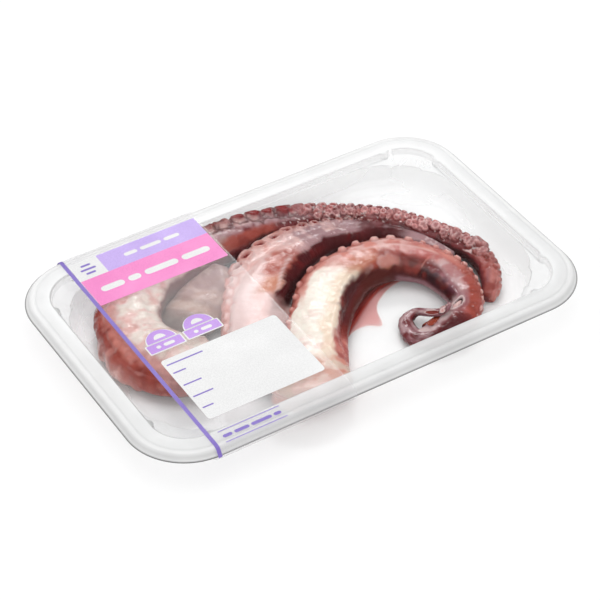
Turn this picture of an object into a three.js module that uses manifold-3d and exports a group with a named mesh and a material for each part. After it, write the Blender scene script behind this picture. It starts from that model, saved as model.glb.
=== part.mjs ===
// Cooked octopus arms in a sealed clear tray with a clear sleeve band round it.
// Millimetres, +Z up. X runs along the tray, Y across it, and the sleeve's underside is at z = 0.
import * as THREE from 'three';
import Module from 'manifold-3d';
import { mergeVertices } from 'three/addons/utils/BufferGeometryUtils.js';

const wasm = await Module();
wasm.setup();

// ---- driving dimensions -------------------------------------------------------------------

// tray, measured at the top of its rim, before the lip turns down
const RIM_LENGTH = 250;
const RIM_WIDTH = 156.2;
const RIM_RADIUS = 29.6;
const RIM_LAND = 10.5; // flat width from the rim's edge to the basin
const LIP_DROP = 3.5; // the lip turned down outside the rim
const LIP_REACH = 2.3;
const CAVITY_DEPTH = 18.9;
const TRAY_WALL = 0.6;
const DRAFT = 3; // how far the basin's wall leans in on its way down
const FLOOR_FILLET = 5;
const SHELF_DEPTH = 4; // corner ledges that carry the next tray in a stack
const SHELF_STEP = 0.5;
const SHELF_FALL = 0.2; // how much lower the ledge's inner edge lies
const LOWER_CORNER_RADIUS = 41; // the basin's rounder corners below the ledges

// shoulder and turned-down lip as [inset, depth] on the upper face
const LIP = [[3.2, 0], [1.2, 0.1], [0.2, 0.5], [-0.6, 1.8], [-1.2, 3], [-LIP_REACH, LIP_DROP]];
const SHOULDER_DEPTH = 0.2; // below this the lip's underside is a whole wall further in ...
const LIP_FOOT_DEPTH = 3.2; // ... as far down as its foot
const SHOULDER_SLANT = 0.4; // share of the wall that the slanting underside rises

const FILM = 0.2;
const FILM_INSET = 2.4;
const SLEEVE = 0.3;
const TOUCH_GAP = 0.1; // between flat faces that lie on each other
const FOOD_GAP = 0.3; // round food that is cut to its neighbours

// heights
const TRAY_BOTTOM = SLEEVE + TOUCH_GAP;
const RIM_Z = TRAY_BOTTOM + TRAY_WALL + CAVITY_DEPTH;
const FLOOR_Z = TRAY_BOTTOM + TRAY_WALL;

// the sleeve band's bend over the rim and its clearance from the basin's leaning wall
const BAND_BEND_INSET = 2;
const BAND_BEND_REACH = 0.5;
const BAND_BEND_DROP = 0.9;
const BAND_EDGE_RISE = 0.4;
const BAND_WALL_GAP = 0.6;

// the sleeve band's two straight edges along X
const SLEEVE_LEFT = -97;
const SLEEVE_RIGHT = -20;

const CORNER_STEPS = 7;
const FILLET_STEPS = 3;

// ---- mesh helpers -------------------------------------------------------------------------

/** One closed loop of a rounded rectangle at height z, counter-clockwise from above. */
function roundedLoop(inset, z, radius) {
  const halfLength = RIM_LENGTH / 2 - inset;
  const halfWidth = RIM_WIDTH / 2 - inset;
  const points = [];
  for (let corner = 0; corner < 4; corner += 1) {
    const signX = corner === 0 || corner === 3 ? 1 : -1;
    const signY = corner < 2 ? 1 : -1;
    for (let step = 0; step <= CORNER_STEPS; step += 1) {
      const angle = (corner + step / CORNER_STEPS) * Math.PI / 2;
      const x = signX * (halfLength - radius) + radius * Math.cos(angle);
      const y = signY * (halfWidth - radius) + radius * Math.sin(angle);
      points.push(new THREE.Vector3(x, y, z));
    }
  }
  return points;
}

/** A closed body through loops of equal length, with both ends capped to their middle points. */
function loftBody(loops) {
  const count = loops[0].length;
  const positions = [];
  for (const loop of loops) {
    for (const point of loop) {
      positions.push(point.x, point.y, point.z);
    }
  }
  const index = [];
  for (let band = 0; band + 1 < loops.length; band += 1) {
    for (let k = 0; k < count; k += 1) {
      const next = (k + 1) % count;
      const a = band * count + k;
      const b = (band + 1) * count + k;
      const c = (band + 1) * count + next;
      const d = band * count + next;
      index.push(a, b, c, a, c, d);
    }
  }
  const ends = [loops[0], loops[loops.length - 1]];
  ends.forEach((loop, end) => {
    const middle = new THREE.Vector3();
    loop.forEach((point) => middle.addScaledVector(point, 1 / count));
    const centre = positions.length / 3;
    positions.push(middle.x, middle.y, middle.z);
    const start = end === 0 ? 0 : (loops.length - 1) * count;
    for (let k = 0; k < count; k += 1) {
      const next = (k + 1) % count;
      if (end === 0) {
        index.push(centre, start + k, start + next);
      } else {
        index.push(centre, start + next, start + k);
      }
    }
  });
  const geometry = new THREE.BufferGeometry();
  geometry.setAttribute('position', new THREE.Float32BufferAttribute(positions, 3));
  geometry.setIndex(index);
  return geometry;
}

/** The geometry as a solid that can be joined and cut. */
function solidOf(geometry) {
  const bare = geometry.clone();
  bare.deleteAttribute('normal');
  bare.deleteAttribute('uv');
  const merged = mergeVertices(bare, MERGE_DISTANCE);
  const mesh = new wasm.Mesh({
    numProp: 3,
    vertProperties: new Float32Array(merged.attributes.position.array),
    triVerts: new Uint32Array(merged.index.array),
  });
  return new wasm.Manifold(mesh);
}

/** The largest single body of a solid, as a geometry, so that cut-off scraps are dropped. */
function largestGeometry(solid) {
  const bodies = solid.decompose();
  bodies.sort((a, b) => b.volume() - a.volume());
  const mesh = bodies[0].getMesh();
  const geometry = new THREE.BufferGeometry();
  geometry.setAttribute('position', new THREE.BufferAttribute(mesh.vertProperties, 3));
  geometry.setIndex(new THREE.BufferAttribute(mesh.triVerts, 1));
  return geometry;
}

function namedMesh(name, geometry, color, roughness, opacity = 1) {
  const material = new THREE.MeshStandardMaterial({ color, roughness, metalness: 0 });
  material.transparent = opacity < 1;
  material.opacity = opacity;
  const mesh = new THREE.Mesh(geometry, material);
  mesh.name = name;
  return mesh;
}

// ---- tray ---------------------------------------------------------------------------------

/** The basin's wall from floor to rim as [inset, depth, corner radius], moved out by offset. */
function basinProfile(offset) {
  const profile = [];
  const slope = DRAFT / CAVITY_DEPTH;
  const upperRadius = RIM_RADIUS - RIM_LAND;
  const fillet = FLOOR_FILLET + offset;
  const wallInset = RIM_LAND + DRAFT - offset;
  for (let step = 0; step <= FILLET_STEPS; step += 1) {
    const angle = (step / FILLET_STEPS) * Math.PI / 2;
    const inset = wallInset + fillet * (1 - Math.sin(angle));
    const rise = fillet * (1 - Math.cos(angle));
    profile.push([inset - slope * rise, offset + CAVITY_DEPTH - rise, LOWER_CORNER_RADIUS]);
  }
  const shelfInset = RIM_LAND + SHELF_DEPTH * slope - offset;
  const shelfDepth = SHELF_DEPTH + offset;
  profile.push([shelfInset + SHELF_STEP, shelfDepth, LOWER_CORNER_RADIUS]);
  profile.push([shelfInset, shelfDepth - SHELF_FALL, upperRadius + offset]);
  return profile;
}

function trayBody() {
  const upperRadius = RIM_RADIUS - RIM_LAND;
  const profile = [
    ...basinProfile(0),
    [RIM_LAND, 0, upperRadius],
    ...LIP.map(([inset, depth]) => [inset, depth, RIM_RADIUS - inset]),
    // the same lip seen from below, one wall lower and further in
    ...LIP.slice().reverse().map(([inset, depth]) => {
      const inward = depth > SHOULDER_DEPTH && depth < LIP_FOOT_DEPTH ? TRAY_WALL : 0;
      const lower = depth + TRAY_WALL - inward * SHOULDER_SLANT;
      return [inset + inward, lower, RIM_RADIUS - inset - inward];
    }),
    [RIM_LAND - TRAY_WALL, TRAY_WALL, upperRadius + TRAY_WALL],
    ...basinProfile(TRAY_WALL).reverse(),
  ];
  return loftBody(profile.map(([inset, depth, radius]) => roundedLoop(inset, RIM_Z - depth, radius)));
}

/** The room inside the basin, less a gap, that the food is cut to. */
function basinRoom(gap) {
  const profile = basinProfile(-gap);
  const upperRadius = RIM_RADIUS - RIM_LAND - gap;
  profile.push([RIM_LAND + gap, gap, upperRadius]);
  profile.reverse();
  const loops = profile.map(([inset, depth, radius]) => roundedLoop(inset, RIM_Z - depth, radius));
  return solidOf(loftBody(loops));
}

// ---- film and sleeve ----------------------------------------------------------------------

function filmBody() {
  const low = RIM_Z + TOUCH_GAP;
  const radius = RIM_RADIUS - FILM_INSET;
  return loftBody([
    roundedLoop(FILM_INSET, low + FILM, radius),
    roundedLoop(FILM_INSET, low, radius),
  ]);
}

/** Half of the band's run in the YZ plane, from the top's edge to the base's edge. */
function sleeveOutline(out) {
  const top = RIM_Z + FILM + 2 * TOUCH_GAP + out;
  const lipEdge = RIM_WIDTH / 2 + LIP_REACH + TOUCH_GAP + out;
  const outline = [
    [RIM_WIDTH / 2 - BAND_BEND_INSET + out, top],
    [RIM_WIDTH / 2 + BAND_BEND_REACH + out, top - BAND_BEND_DROP],
    [lipEdge, RIM_Z - LIP_DROP + BAND_EDGE_RISE],
    [lipEdge, RIM_Z - LIP_DROP - TRAY_WALL],
  ];
  // round the tray's bottom edge on the flats that just clear its fillet
  const fillet = FLOOR_FILLET + TRAY_WALL;
  const middleY = RIM_WIDTH / 2 - RIM_LAND - DRAFT + TRAY_WALL - fillet + BAND_WALL_GAP;
  const middleZ = TRAY_BOTTOM + fillet;
  const halfFlat = Math.PI / 12;
  const reach = (fillet + TOUCH_GAP + out) / Math.cos(halfFlat);
  for (const turn of [1, 3, 5]) {
    const angle = turn * halfFlat;
    outline.push([middleY + reach * Math.cos(angle), middleZ - reach * Math.sin(angle)]);
  }
  return outline;
}

function sleeveBody() {
  const outline = (out) => {
    const half = sleeveOutline(out);
    const other = half.slice().reverse().map(([y, z]) => [-y, z]);
    return half.concat(other).reverse().map(([y, z]) => new THREE.Vector2(y, z));
  };
  const shape = new THREE.Shape(outline(SLEEVE));
  shape.holes.push(new THREE.Path(outline(0)));
  const band = new THREE.ExtrudeGeometry(shape, {
    depth: SLEEVE_RIGHT - SLEEVE_LEFT,
    bevelEnabled: false,
    steps: 1,
  });
  // shape X becomes Y, shape Y becomes Z and the extrusion runs along X
  const turn = new THREE.Matrix4().makeBasis(
    new THREE.Vector3(0, 1, 0),
    new THREE.Vector3(0, 0, 1),
    new THREE.Vector3(1, 0, 0),
  );
  band.applyMatrix4(turn);
  band.translate(SLEEVE_LEFT, 0, 0);
  return band;
}

// ---- octopus arms -------------------------------------------------------------------------

// Each station is [x, y, half width, height, turn of the sucker side above level in degrees],
// and the curling tip's stations add how far they are lifted off the floor.
const ARM_FRONT = [
  [-36, -66, 20, 17.4, 0],
  [-22, -46, 17, 17.6, 0],
  [-9.7, -27.8, 16.2, 17.6, 5],
  [1.5, -15.4, 15.9, 17.6, 5],
  [11, -5.8, 16.7, 17.4, 10],
  [22.1, 0.8, 16, 17.2, 15],
  [33.8, 3.9, 14.5, 16.8, 18],
  [45.4, 4.2, 14, 16.4, 20],
  [56, 1, 13.6, 15.8, 20],
  [64.6, -6.6, 12.8, 15, 18],
  [70.6, -16.4, 12.2, 14.2, 15],
  [72.8, -28, 11.6, 13.2, 10],
  [71.5, -39, 9.8, 12.2, 10],
  [67, -48, 8.2, 11, 5],
  [59, -52.6, 8.6, 9.8, 0],
];
const ARM_FRONT_TIP = [
  [67, -48, 8, 10.8, 5, 0],
  [59, -52.6, 8.6, 9.8, 0, 0],
  [49.5, -54.8, 8.8, 8.4, 0, 0],
  [40.4, -55.6, 6.1, 7.4, 10, 0],
  [34, -50.6, 5.5, 6.8, 10, 0.2],
  [36.9, -38.5, 3.9, 5.4, 20, 0.5],
  [41.7, -36.1, 3, 4.4, 28, 1.7],
  [45.1, -36.8, 2.4, 3.8, 38, 3.1],
  [47.3, -40.6, 2.3, 3.8, 45, 4.7],
  [49.3, -44.6, 2.4, 3.8, 45, 6.5],
  [51.4, -47.5, 2.2, 3.4, 45, 8.5],
  [54.1, -48.3, 1.7, 2.8, 45, 10.5],
  [56.7, -47.6, 1.1, 2, 45, 12],
];
const ARM_MIDDLE = [
  [-52, -42, 17, 17, -10],
  [-42, -24, 16.8, 17.4, -10],
  [-31.6, -7.3, 17, 17.5, -8],
  [-19.1, 9.1, 19.2, 17.5, 8],
  [-5.2, 22.4, 20.1, 17.4, 24],
  [10.9, 30.4, 18.9, 16.8, 34],
  [26.3, 33.3, 16.4, 15.8, 38],
  [40.4, 32.7, 13.8, 14.4, 38],
  [52.8, 28.7, 11.5, 12.6, 36],
  [64.4, 23.1, 9.2, 11, 34],
  [74.6, 13.4, 7.2, 9.4, 30],
  [82, 2.4, 5.5, 8, 30],
  [87, -8.5, 4, 6, 30],
];
const ARM_BACK = [
  [-63.8, -16, 17, 15.4, -15],
  [-76.6, -10.9, 19.6, 17, -15],
  [-85.6, 2.6, 19.4, 17.6, -15],
  [-87.2, 17.6, 17.7, 17.6, -10],
  [-81.5, 33, 17, 17.6, 0],
  [-70, 45, 16, 17.6, 10],
  [-54, 52.5, 14.5, 17.6, 18],
  [-36, 56, 13.2, 17.6, 24],
  [-18, 57, 12.2, 17.6, 26],
  [0, 57.5, 11, 17.2, 32],
  [18, 55, 10.2, 16.2, 45],
  [36, 49.8, 9.4, 15.2, 55],
  [50, 43.8, 8.6, 14, 60],
  [63, 36, 8, 13, 62],
  [75, 25.5, 7.5, 12, 62],
  [84.5, 12.2, 7.5, 11, 60],
  [91.7, -1.3, 7.3, 10.4, 50],
  [95.6, -13.2, 6.9, 9.8, 45],
  [95.2, -22.8, 6.7, 9.4, 35],
  [92.4, -32.2, 6, 9, 25],
  [88, -39.8, 5.2, 8.2, 15],
  [82.5, -45, 4, 6.6, 15],
];
const SKIN_WEB = [
  [-67, 10, 8, 6.5, 0],
  [-59, 17, 14, 8, 0],
  [-47, 25, 15, 9.5, 0],
  [-35, 34, 12, 10.5, 0],
  [-24, 42, 8, 11, 0],
];

const PATH_SAMPLES = 400;
const SECTION_ANGLES = [-72, -46, -24, 0, 24, 46, 72, 102, 134, 170, 206, 236, 262];
const SUCKER_PITCH = 0.56; // of the arm's half width
const SMALLEST_PITCH = 4;
const ROW_ANGLE = 24; // each of the two rows lies this far to its side
const SUCKER_RISE = 0.11; // of the arm's half width
const SUCKER_SPREAD = 0.9; // how far a sucker reaches to its side, as a share of ROW_ANGLE
const SECTION_POWER = 2.35; // 2 is an ellipse, more is squarer
const MERGE_DISTANCE = 1e-4;

/** A tapering arm along its stations, with two rows of suckers staggered along its outer side. */
function armSolid(stations, grow = 0, suckers = 1) {
  const centre = new THREE.CatmullRomCurve3(
    stations.map(([x, y, , height, , lift = 0]) => (
      new THREE.Vector3(x, y, FLOOR_Z + lift + height / 2)
    )),
  );
  const size = new THREE.CatmullRomCurve3(
    stations.map(([, , half, height, turn]) => new THREE.Vector3(half, height, turn)),
    false,
    'catmullrom',
  );
  const lengths = [0];
  let last = centre.getPoint(0);
  for (let k = 1; k <= PATH_SAMPLES; k += 1) {
    const point = centre.getPoint(k / PATH_SAMPLES);
    lengths.push(lengths[k - 1] + point.distanceTo(last));
    last = point;
  }
  const total = lengths[PATH_SAMPLES];
  const parameterAt = (distance) => {
    let k = 1;
    while (k < PATH_SAMPLES && lengths[k] < distance) {
      k += 1;
    }
    const part = (distance - lengths[k - 1]) / (lengths[k] - lengths[k - 1]);
    return Math.min((k - 1 + part) / PATH_SAMPLES, 1);
  };

  const loops = [];
  let distance = 0;
  while (distance < total) {
    const t = parameterAt(distance);
    const row = loops.length % 2 === 0 ? ROW_ANGLE : -ROW_ANGLE;
    loops.push(armSection(centre, size, t, row, grow, suckers));
    distance += Math.max(size.getPoint(t).x * SUCKER_PITCH, SMALLEST_PITCH) / 2;
  }
  loops.push(armSection(centre, size, 1, 0, grow, 0));
  return solidOf(loftBody(loops.reverse()));
}

/** One loop of points across an arm, raised where a sucker of this row sits. */
function armSection(centre, size, t, row, grow, suckers) {
  const middle = centre.getPoint(t);
  const ahead = centre.getTangent(t);
  const outward = new THREE.Vector3(-ahead.y, ahead.x, 0).normalize();
  const { x: half, y: height, z: turn } = size.getPoint(t);
  return SECTION_ANGLES.map((side) => {
    const angle = THREE.MathUtils.degToRad(side + turn);
    const power = 2 / SECTION_POWER;
    const across = Math.sign(Math.cos(angle)) * Math.abs(Math.cos(angle)) ** power;
    const up = Math.sign(Math.sin(angle)) * Math.abs(Math.sin(angle)) ** power;
    const near = Math.max(0, 1 - Math.abs(side - row) / (ROW_ANGLE * SUCKER_SPREAD));
    const rise = grow + suckers * SUCKER_RISE * half * near;
    return new THREE.Vector3()
      .copy(middle)
      .addScaledVector(outward, (half + rise) * across)
      .add(new THREE.Vector3(0, 0, (height / 2 + rise) * up));
  });
}

// ---- assembly -----------------------------------------------------------------------------

const room = basinRoom(FOOD_GAP);
const frontSolid = (grow) => armSolid(ARM_FRONT, grow).add(armSolid(ARM_FRONT_TIP, grow));
const middleSolid = (grow) => armSolid(ARM_MIDDLE, grow);

const armFront = frontSolid(0).intersect(room);
const armMiddle = middleSolid(0).intersect(room).subtract(frontSolid(FOOD_GAP));
const armBack = armSolid(ARM_BACK)
  .intersect(room)
  .subtract(frontSolid(FOOD_GAP))
  .subtract(middleSolid(FOOD_GAP));
const skinWeb = armSolid(SKIN_WEB, 0, 0)
  .intersect(room)
  .subtract(middleSolid(FOOD_GAP))
  .subtract(armSolid(ARM_BACK, FOOD_GAP));

const pack = new THREE.Group();
pack.add(namedMesh('tray', trayBody(), 0xeef1f2, 0.12, 0.35));
pack.add(namedMesh('lid_film', filmBody(), 0xf4f6f7, 0.08, 0.25));
pack.add(namedMesh('sleeve', sleeveBody(), 0xe9e4f2, 0.2, 0.4));
pack.add(namedMesh('arm_front', largestGeometry(armFront), 0xd99a8c, 0.35));
pack.add(namedMesh('arm_middle', largestGeometry(armMiddle), 0xc78a86, 0.35));
pack.add(namedMesh('arm_back', largestGeometry(armBack), 0x8a3d44, 0.35));
pack.add(namedMesh('skin_web', largestGeometry(skinWeb), 0x8f8584, 0.3));

export default pack;
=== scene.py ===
# Cooked octopus arms in a sealed clear tray with a printed clear sleeve band.
# Sizes, places and stations are millimetres in the part's own frame, and angles are degrees.
# The camera, the lamps and the floor are in metres, and so are the distances in the materials.
import math

import bmesh
import bpy
import numpy as np
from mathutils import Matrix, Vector


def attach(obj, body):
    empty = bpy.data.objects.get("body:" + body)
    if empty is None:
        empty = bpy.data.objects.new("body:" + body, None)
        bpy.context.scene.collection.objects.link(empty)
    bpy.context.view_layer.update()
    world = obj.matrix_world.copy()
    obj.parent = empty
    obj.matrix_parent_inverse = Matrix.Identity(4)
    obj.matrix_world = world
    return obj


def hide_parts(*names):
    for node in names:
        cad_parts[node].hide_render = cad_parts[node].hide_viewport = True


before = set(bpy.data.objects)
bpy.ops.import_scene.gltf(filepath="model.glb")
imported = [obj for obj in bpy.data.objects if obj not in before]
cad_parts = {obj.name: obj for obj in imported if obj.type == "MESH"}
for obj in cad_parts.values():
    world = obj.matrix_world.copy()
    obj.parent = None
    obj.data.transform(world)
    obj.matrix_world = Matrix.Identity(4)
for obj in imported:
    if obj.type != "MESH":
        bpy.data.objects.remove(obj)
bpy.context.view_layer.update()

MM = 0.001
FLOOR_Z = 1.0
RIM_Z = 19.9
RIM_LENGTH = 250.0
RIM_WIDTH = 156.2
RIM_RADIUS = 29.6
RIM_LAND = 10.5
CAVITY_DEPTH = 18.9
DRAFT = 3.0
FLOOR_FILLET = 5.0
SHELF_DEPTH = 4.0
SHELF_STEP = 0.5
UPPER_RADIUS = RIM_RADIUS - RIM_LAND
LOWER_RADIUS = 41.0
SLEEVE_LEFT = -97.0
SLEEVE_RIGHT = -20.0
SLEEVE_RISE = 0.4

CAMERA_PLACE = (-0.4442, -0.7025, 0.7341)
CAMERA_AIM = (0.4013, 0.6372, -0.6580)
CAMERA_LENS = 131.35
ROOM_LIGHT = 0.72
ROOM_SEEN = 1.0
ROOM_MIRRORED = 0.12
FLOOR_HALF = 6.0

# ---- camera, lights and floor ---------------------------------------------------------------


def link_to_scene(name, data):
    thing = bpy.data.objects.new(name, data)
    bpy.context.scene.collection.objects.link(thing)
    return thing


def turn_to(thing, aim):
    """Points a camera or a lamp along aim."""
    thing.rotation_euler = Vector(aim).to_track_quat("-Z", "Y").to_euler()


def add_camera():
    data = bpy.data.cameras.new("camera")
    data.lens = CAMERA_LENS
    data.sensor_width = 36.0
    data.clip_start = 0.05
    data.clip_end = 20.0
    cam = link_to_scene("camera", data)
    cam.location = CAMERA_PLACE
    turn_to(cam, CAMERA_AIM)
    bpy.context.scene.camera = cam


def add_area(name, place, size, power, mirrored):
    """A rectangular lamp that shines on the middle of the part."""
    data = bpy.data.lights.new(name, "AREA")
    data.shape = "RECTANGLE"
    data.size, data.size_y = size
    data.energy = power
    lamp = link_to_scene(name, data)
    lamp.location = place
    turn_to(lamp, -Vector(place))
    lamp.visible_glossy = mirrored


def add_world():
    """White room: full white behind, softer for lighting and dimmer in reflections."""
    world = bpy.data.worlds.new("studio")
    world.use_nodes = True
    tree = world.node_tree
    tree.nodes.clear()
    path = tree.nodes.new("ShaderNodeLightPath")

    def background(strength):
        node = tree.nodes.new("ShaderNodeBackground")
        node.inputs["Color"].default_value = (1, 1, 1, 1)
        node.inputs["Strength"].default_value = strength
        return node.outputs[0]

    last = background(ROOM_LIGHT)
    for ray, strength in (("Is Camera Ray", ROOM_SEEN), ("Is Glossy Ray", ROOM_MIRRORED)):
        mix = tree.nodes.new("ShaderNodeMixShader")
        for socket, source in enumerate((path.outputs[ray], last, background(strength))):
            tree.links.new(source, mix.inputs[socket])
        last = mix.outputs[0]
    tree.links.new(last, tree.nodes.new("ShaderNodeOutputWorld").inputs["Surface"])
    bpy.context.scene.world = world


def add_floor():
    mesh = bpy.data.meshes.new("floor")
    corners = [(FLOOR_HALF * x, FLOOR_HALF * y, 0) for x, y in ((-1, -1), (1, -1), (1, 1), (-1, 1))]
    mesh.from_pydata(corners, [], [(0, 1, 2, 3)])
    floor = link_to_scene("floor", mesh)
    mat = bpy.data.materials.new("floor_white")
    mat.use_nodes = True
    shader = mat.node_tree.nodes["Principled BSDF"]
    shader.inputs["Base Color"].default_value = (0.93, 0.93, 0.93, 1)
    shader.inputs["Roughness"].default_value = 0.9
    shader.inputs["Specular IOR Level"].default_value = 0.1
    mesh.materials.append(mat)


bpy.context.scene.view_settings.view_transform = "Standard"
bpy.context.scene.view_settings.look = "None"
add_camera()
add_world()
add_floor()
add_area("key", (-0.1, 0.15, 1.6), (1.2, 1.2), 7.0, True)
add_area("back", (0.6, 0.95, 0.98), (0.5, 0.16), 3.2, True)
add_area("fill", (-0.5, -1.1, 0.9), (0.9, 0.5), 4.0, False)

# ---- mesh helpers ---------------------------------------------------------------------------


def add_mesh(name, verts_mm, faces, smooth=True):
    """A mesh object from an array of millimetre points and a list or array of faces."""
    mesh = bpy.data.meshes.new(name)
    mesh.from_pydata(np.asarray(verts_mm, float) * MM, [], faces)
    mesh.validate()
    mesh.update()
    if smooth:
        mesh.polygons.foreach_set("use_smooth", np.ones(len(mesh.polygons), bool))
    piece = link_to_scene(name, mesh)
    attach(piece, "root")
    return piece


def dress(piece, material, shadow=True):
    """Gives a piece its material, outward faces, and its shadow or none."""
    piece.data.materials.append(material)
    piece.visible_shadow = shadow
    bm = bmesh.new()
    bm.from_mesh(piece.data)
    bmesh.ops.recalc_face_normals(bm, faces=bm.faces)
    bm.to_mesh(piece.data)
    bm.free()


def write_tone(piece, tones, wet):
    """Keeps the painted colour and the wetness (for clear plastic: the haze) on a piece's points."""
    mesh = piece.data
    colours = np.c_[tones, np.ones(len(tones))].astype(np.float32)
    layer = mesh.attributes.new("tone", "FLOAT_COLOR", "POINT")
    layer.data.foreach_set("color", colours.ravel())
    layer = mesh.attributes.new("wet", "FLOAT", "POINT")
    layer.data.foreach_set("value", wet.astype(np.float32))


def grid_faces(rows, columns, wrap):
    """Quads of a rows x columns grid of points, closed across its columns if wrap."""
    r = np.arange(rows - 1)[:, None]
    c = np.arange(columns if wrap else columns - 1)[None]
    n = (c + 1) % columns
    quads = [r * columns + c, r * columns + n, (r + 1) * columns + n, (r + 1) * columns + c]
    return np.stack(np.broadcast_arrays(*quads), -1).reshape(-1, 4).tolist()


def smoothstep(low, high, x):
    """Rises from 0 at low to 1 at high, or falls where low is the larger."""
    t = np.clip((x - low) / (high - low), 0, 1)
    return t * t * (3 - 2 * t)


def window(x, low, high, soft):
    """1 between low and high, faded over soft to both sides of each."""
    return smoothstep(low - soft, low + soft, x) * smoothstep(high + soft, high - soft, x)


def hump(x, middle, width):
    """A bell of height 1."""
    return np.exp(-(((x - middle) / width) ** 2))


LATTICE = 32


class Noise:
    """Smooth lattice noise in -1..1 from one seeded table."""

    def __init__(self, seed):
        self.table = np.random.RandomState(seed).uniform(-1, 1, (LATTICE, LATTICE, LATTICE))

    def __call__(self, points):
        p = np.asarray(points, float)
        base = np.floor(p).astype(int)
        w = p - base
        w = w * w * (3 - 2 * w)
        total = 0
        for corner in np.ndindex(2, 2, 2):
            place = (base + corner) % LATTICE
            share = np.prod(np.where(corner, w, 1 - w), axis=-1)
            total = total + self.table[place[..., 0], place[..., 1], place[..., 2]] * share
        return total


noise = Noise(7)


def linear(rgb):
    """Linear colour from 0-255 display values."""
    c = np.asarray(rgb, float) / 255
    return np.where(c <= 0.04045, c / 12.92, ((c + 0.055) / 1.055) ** 2.4)


# ---- basin ----------------------------------------------------------------------------------


def rounded_sdf(x, y, inset, radius):
    """Signed distance to the rounded rectangle that lies inset from the rim, and its gradient."""
    half_x = RIM_LENGTH / 2 - inset - radius
    half_y = RIM_WIDTH / 2 - inset - radius
    qx, qy = np.abs(x) - half_x, np.abs(y) - half_y
    ox, oy = np.maximum(qx, 0), np.maximum(qy, 0)
    out = np.hypot(ox, oy)
    distance = out + np.minimum(np.maximum(qx, qy), 0) - radius
    corner = (qx > 0) & (qy > 0)
    nx = np.where(corner, ox / np.maximum(out, 1e-6), (qx > qy).astype(float))
    ny = np.where(corner, oy / np.maximum(out, 1e-6), (qx <= qy).astype(float))
    return distance, nx * np.sign(x), ny * np.sign(y)


FLOOR_GAP = 0.12
FILM_GAP = 0.35
WALL_GAP = 0.3


def keep_in_basin(points):
    """Points moved just inside the tray's walls, floor and film."""
    p = points.copy()
    p[..., 2] = np.clip(p[..., 2], FLOOR_Z + FLOOR_GAP, RIM_Z - FILM_GAP)
    depth = RIM_Z - p[..., 2]
    rise = p[..., 2] - FLOOR_Z
    fillet = np.clip(FLOOR_FILLET - rise, 0, FLOOR_FILLET)
    inset = RIM_LAND + DRAFT * depth / CAVITY_DEPTH
    inset = inset + FLOOR_FILLET - np.sqrt(np.maximum(FLOOR_FILLET**2 - fillet**2, 0))
    distance, nx, ny = rounded_sdf(p[..., 0], p[..., 1], inset, LOWER_RADIUS)
    push = np.maximum(distance + WALL_GAP, 0)
    p[..., 0] -= nx * push
    p[..., 1] -= ny * push
    return p


# ---- arms -----------------------------------------------------------------------------------

# Each station is (x, y, half width, height, turn of the cross-section in degrees, lift).
ARM_FRONT = [
    (-36, -66, 20, 17.4, 0, 0),
    (-22, -46, 17, 17.6, 0, 0),
    (-9.7, -27.8, 16.2, 17.6, 5, 0),
    (1.5, -15.4, 15.9, 17.6, 5, 0),
    (11, -5.8, 16.7, 17.4, 10, 0),
    (22.1, 0.8, 16, 17.2, 15, 0),
    (33.8, 3.9, 14.5, 16.8, 18, 0),
    (45.4, 4.2, 14, 16.4, 20, 0),
    (56, 1, 13.6, 15.8, 20, 0),
    (64.6, -6.6, 12.8, 15, 18, 0),
    (70.6, -16.4, 12.2, 14.2, 15, 0),
    (72.8, -28, 11.6, 13.2, 10, 0),
    (71.5, -39, 9.8, 12.2, 10, 0),
    (67, -48, 8.2, 11, 5, 0),
    (59, -52.6, 8.6, 9.8, 0, 0),
    (49.5, -54.8, 8.8, 8.4, 0, 0),
    (40.4, -55.6, 6.1, 7.4, 10, 0),
    (34, -50.6, 5.5, 6.8, 10, 0.2),
    (36.9, -38.5, 3.9, 5.4, 20, 0.5),
    (41.7, -36.1, 3, 4.4, 28, 1.7),
    (45.1, -36.8, 2.4, 3.8, 38, 3.1),
    (47.3, -40.6, 2.3, 3.8, 45, 4.7),
    (49.3, -44.6, 2.4, 3.8, 45, 6.5),
    (51.4, -47.5, 2.2, 3.4, 45, 8.5),
    (54.1, -48.3, 1.7, 2.8, 45, 10.5),
    (56.7, -47.6, 1.1, 2, 45, 12),
]
ARM_MIDDLE = [
    (-52, -42, 17, 17, -10, 0),
    (-42, -24, 16.8, 17.4, -10, 0),
    (-31.6, -7.3, 17, 17.5, -8, 0),
    (-19.1, 9.1, 19.2, 17.5, 8, 0),
    (-5.2, 22.4, 20.1, 17.4, 24, 0),
    (10.9, 30.4, 18.9, 16.8, 34, 0),
    (26.3, 33.3, 16.4, 15.8, 38, 0),
    (40.4, 32.7, 13.8, 14.4, 38, 0),
    (52.8, 28.7, 11.5, 12.6, 36, 0),
    (64.4, 23.1, 9.2, 11, 34, 0),
    (74.6, 13.4, 7.2, 9.4, 30, 0),
    (82, 2.4, 5.5, 8, 30, 0),
    (87, -8.5, 4, 6, 30, 0),
]
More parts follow.
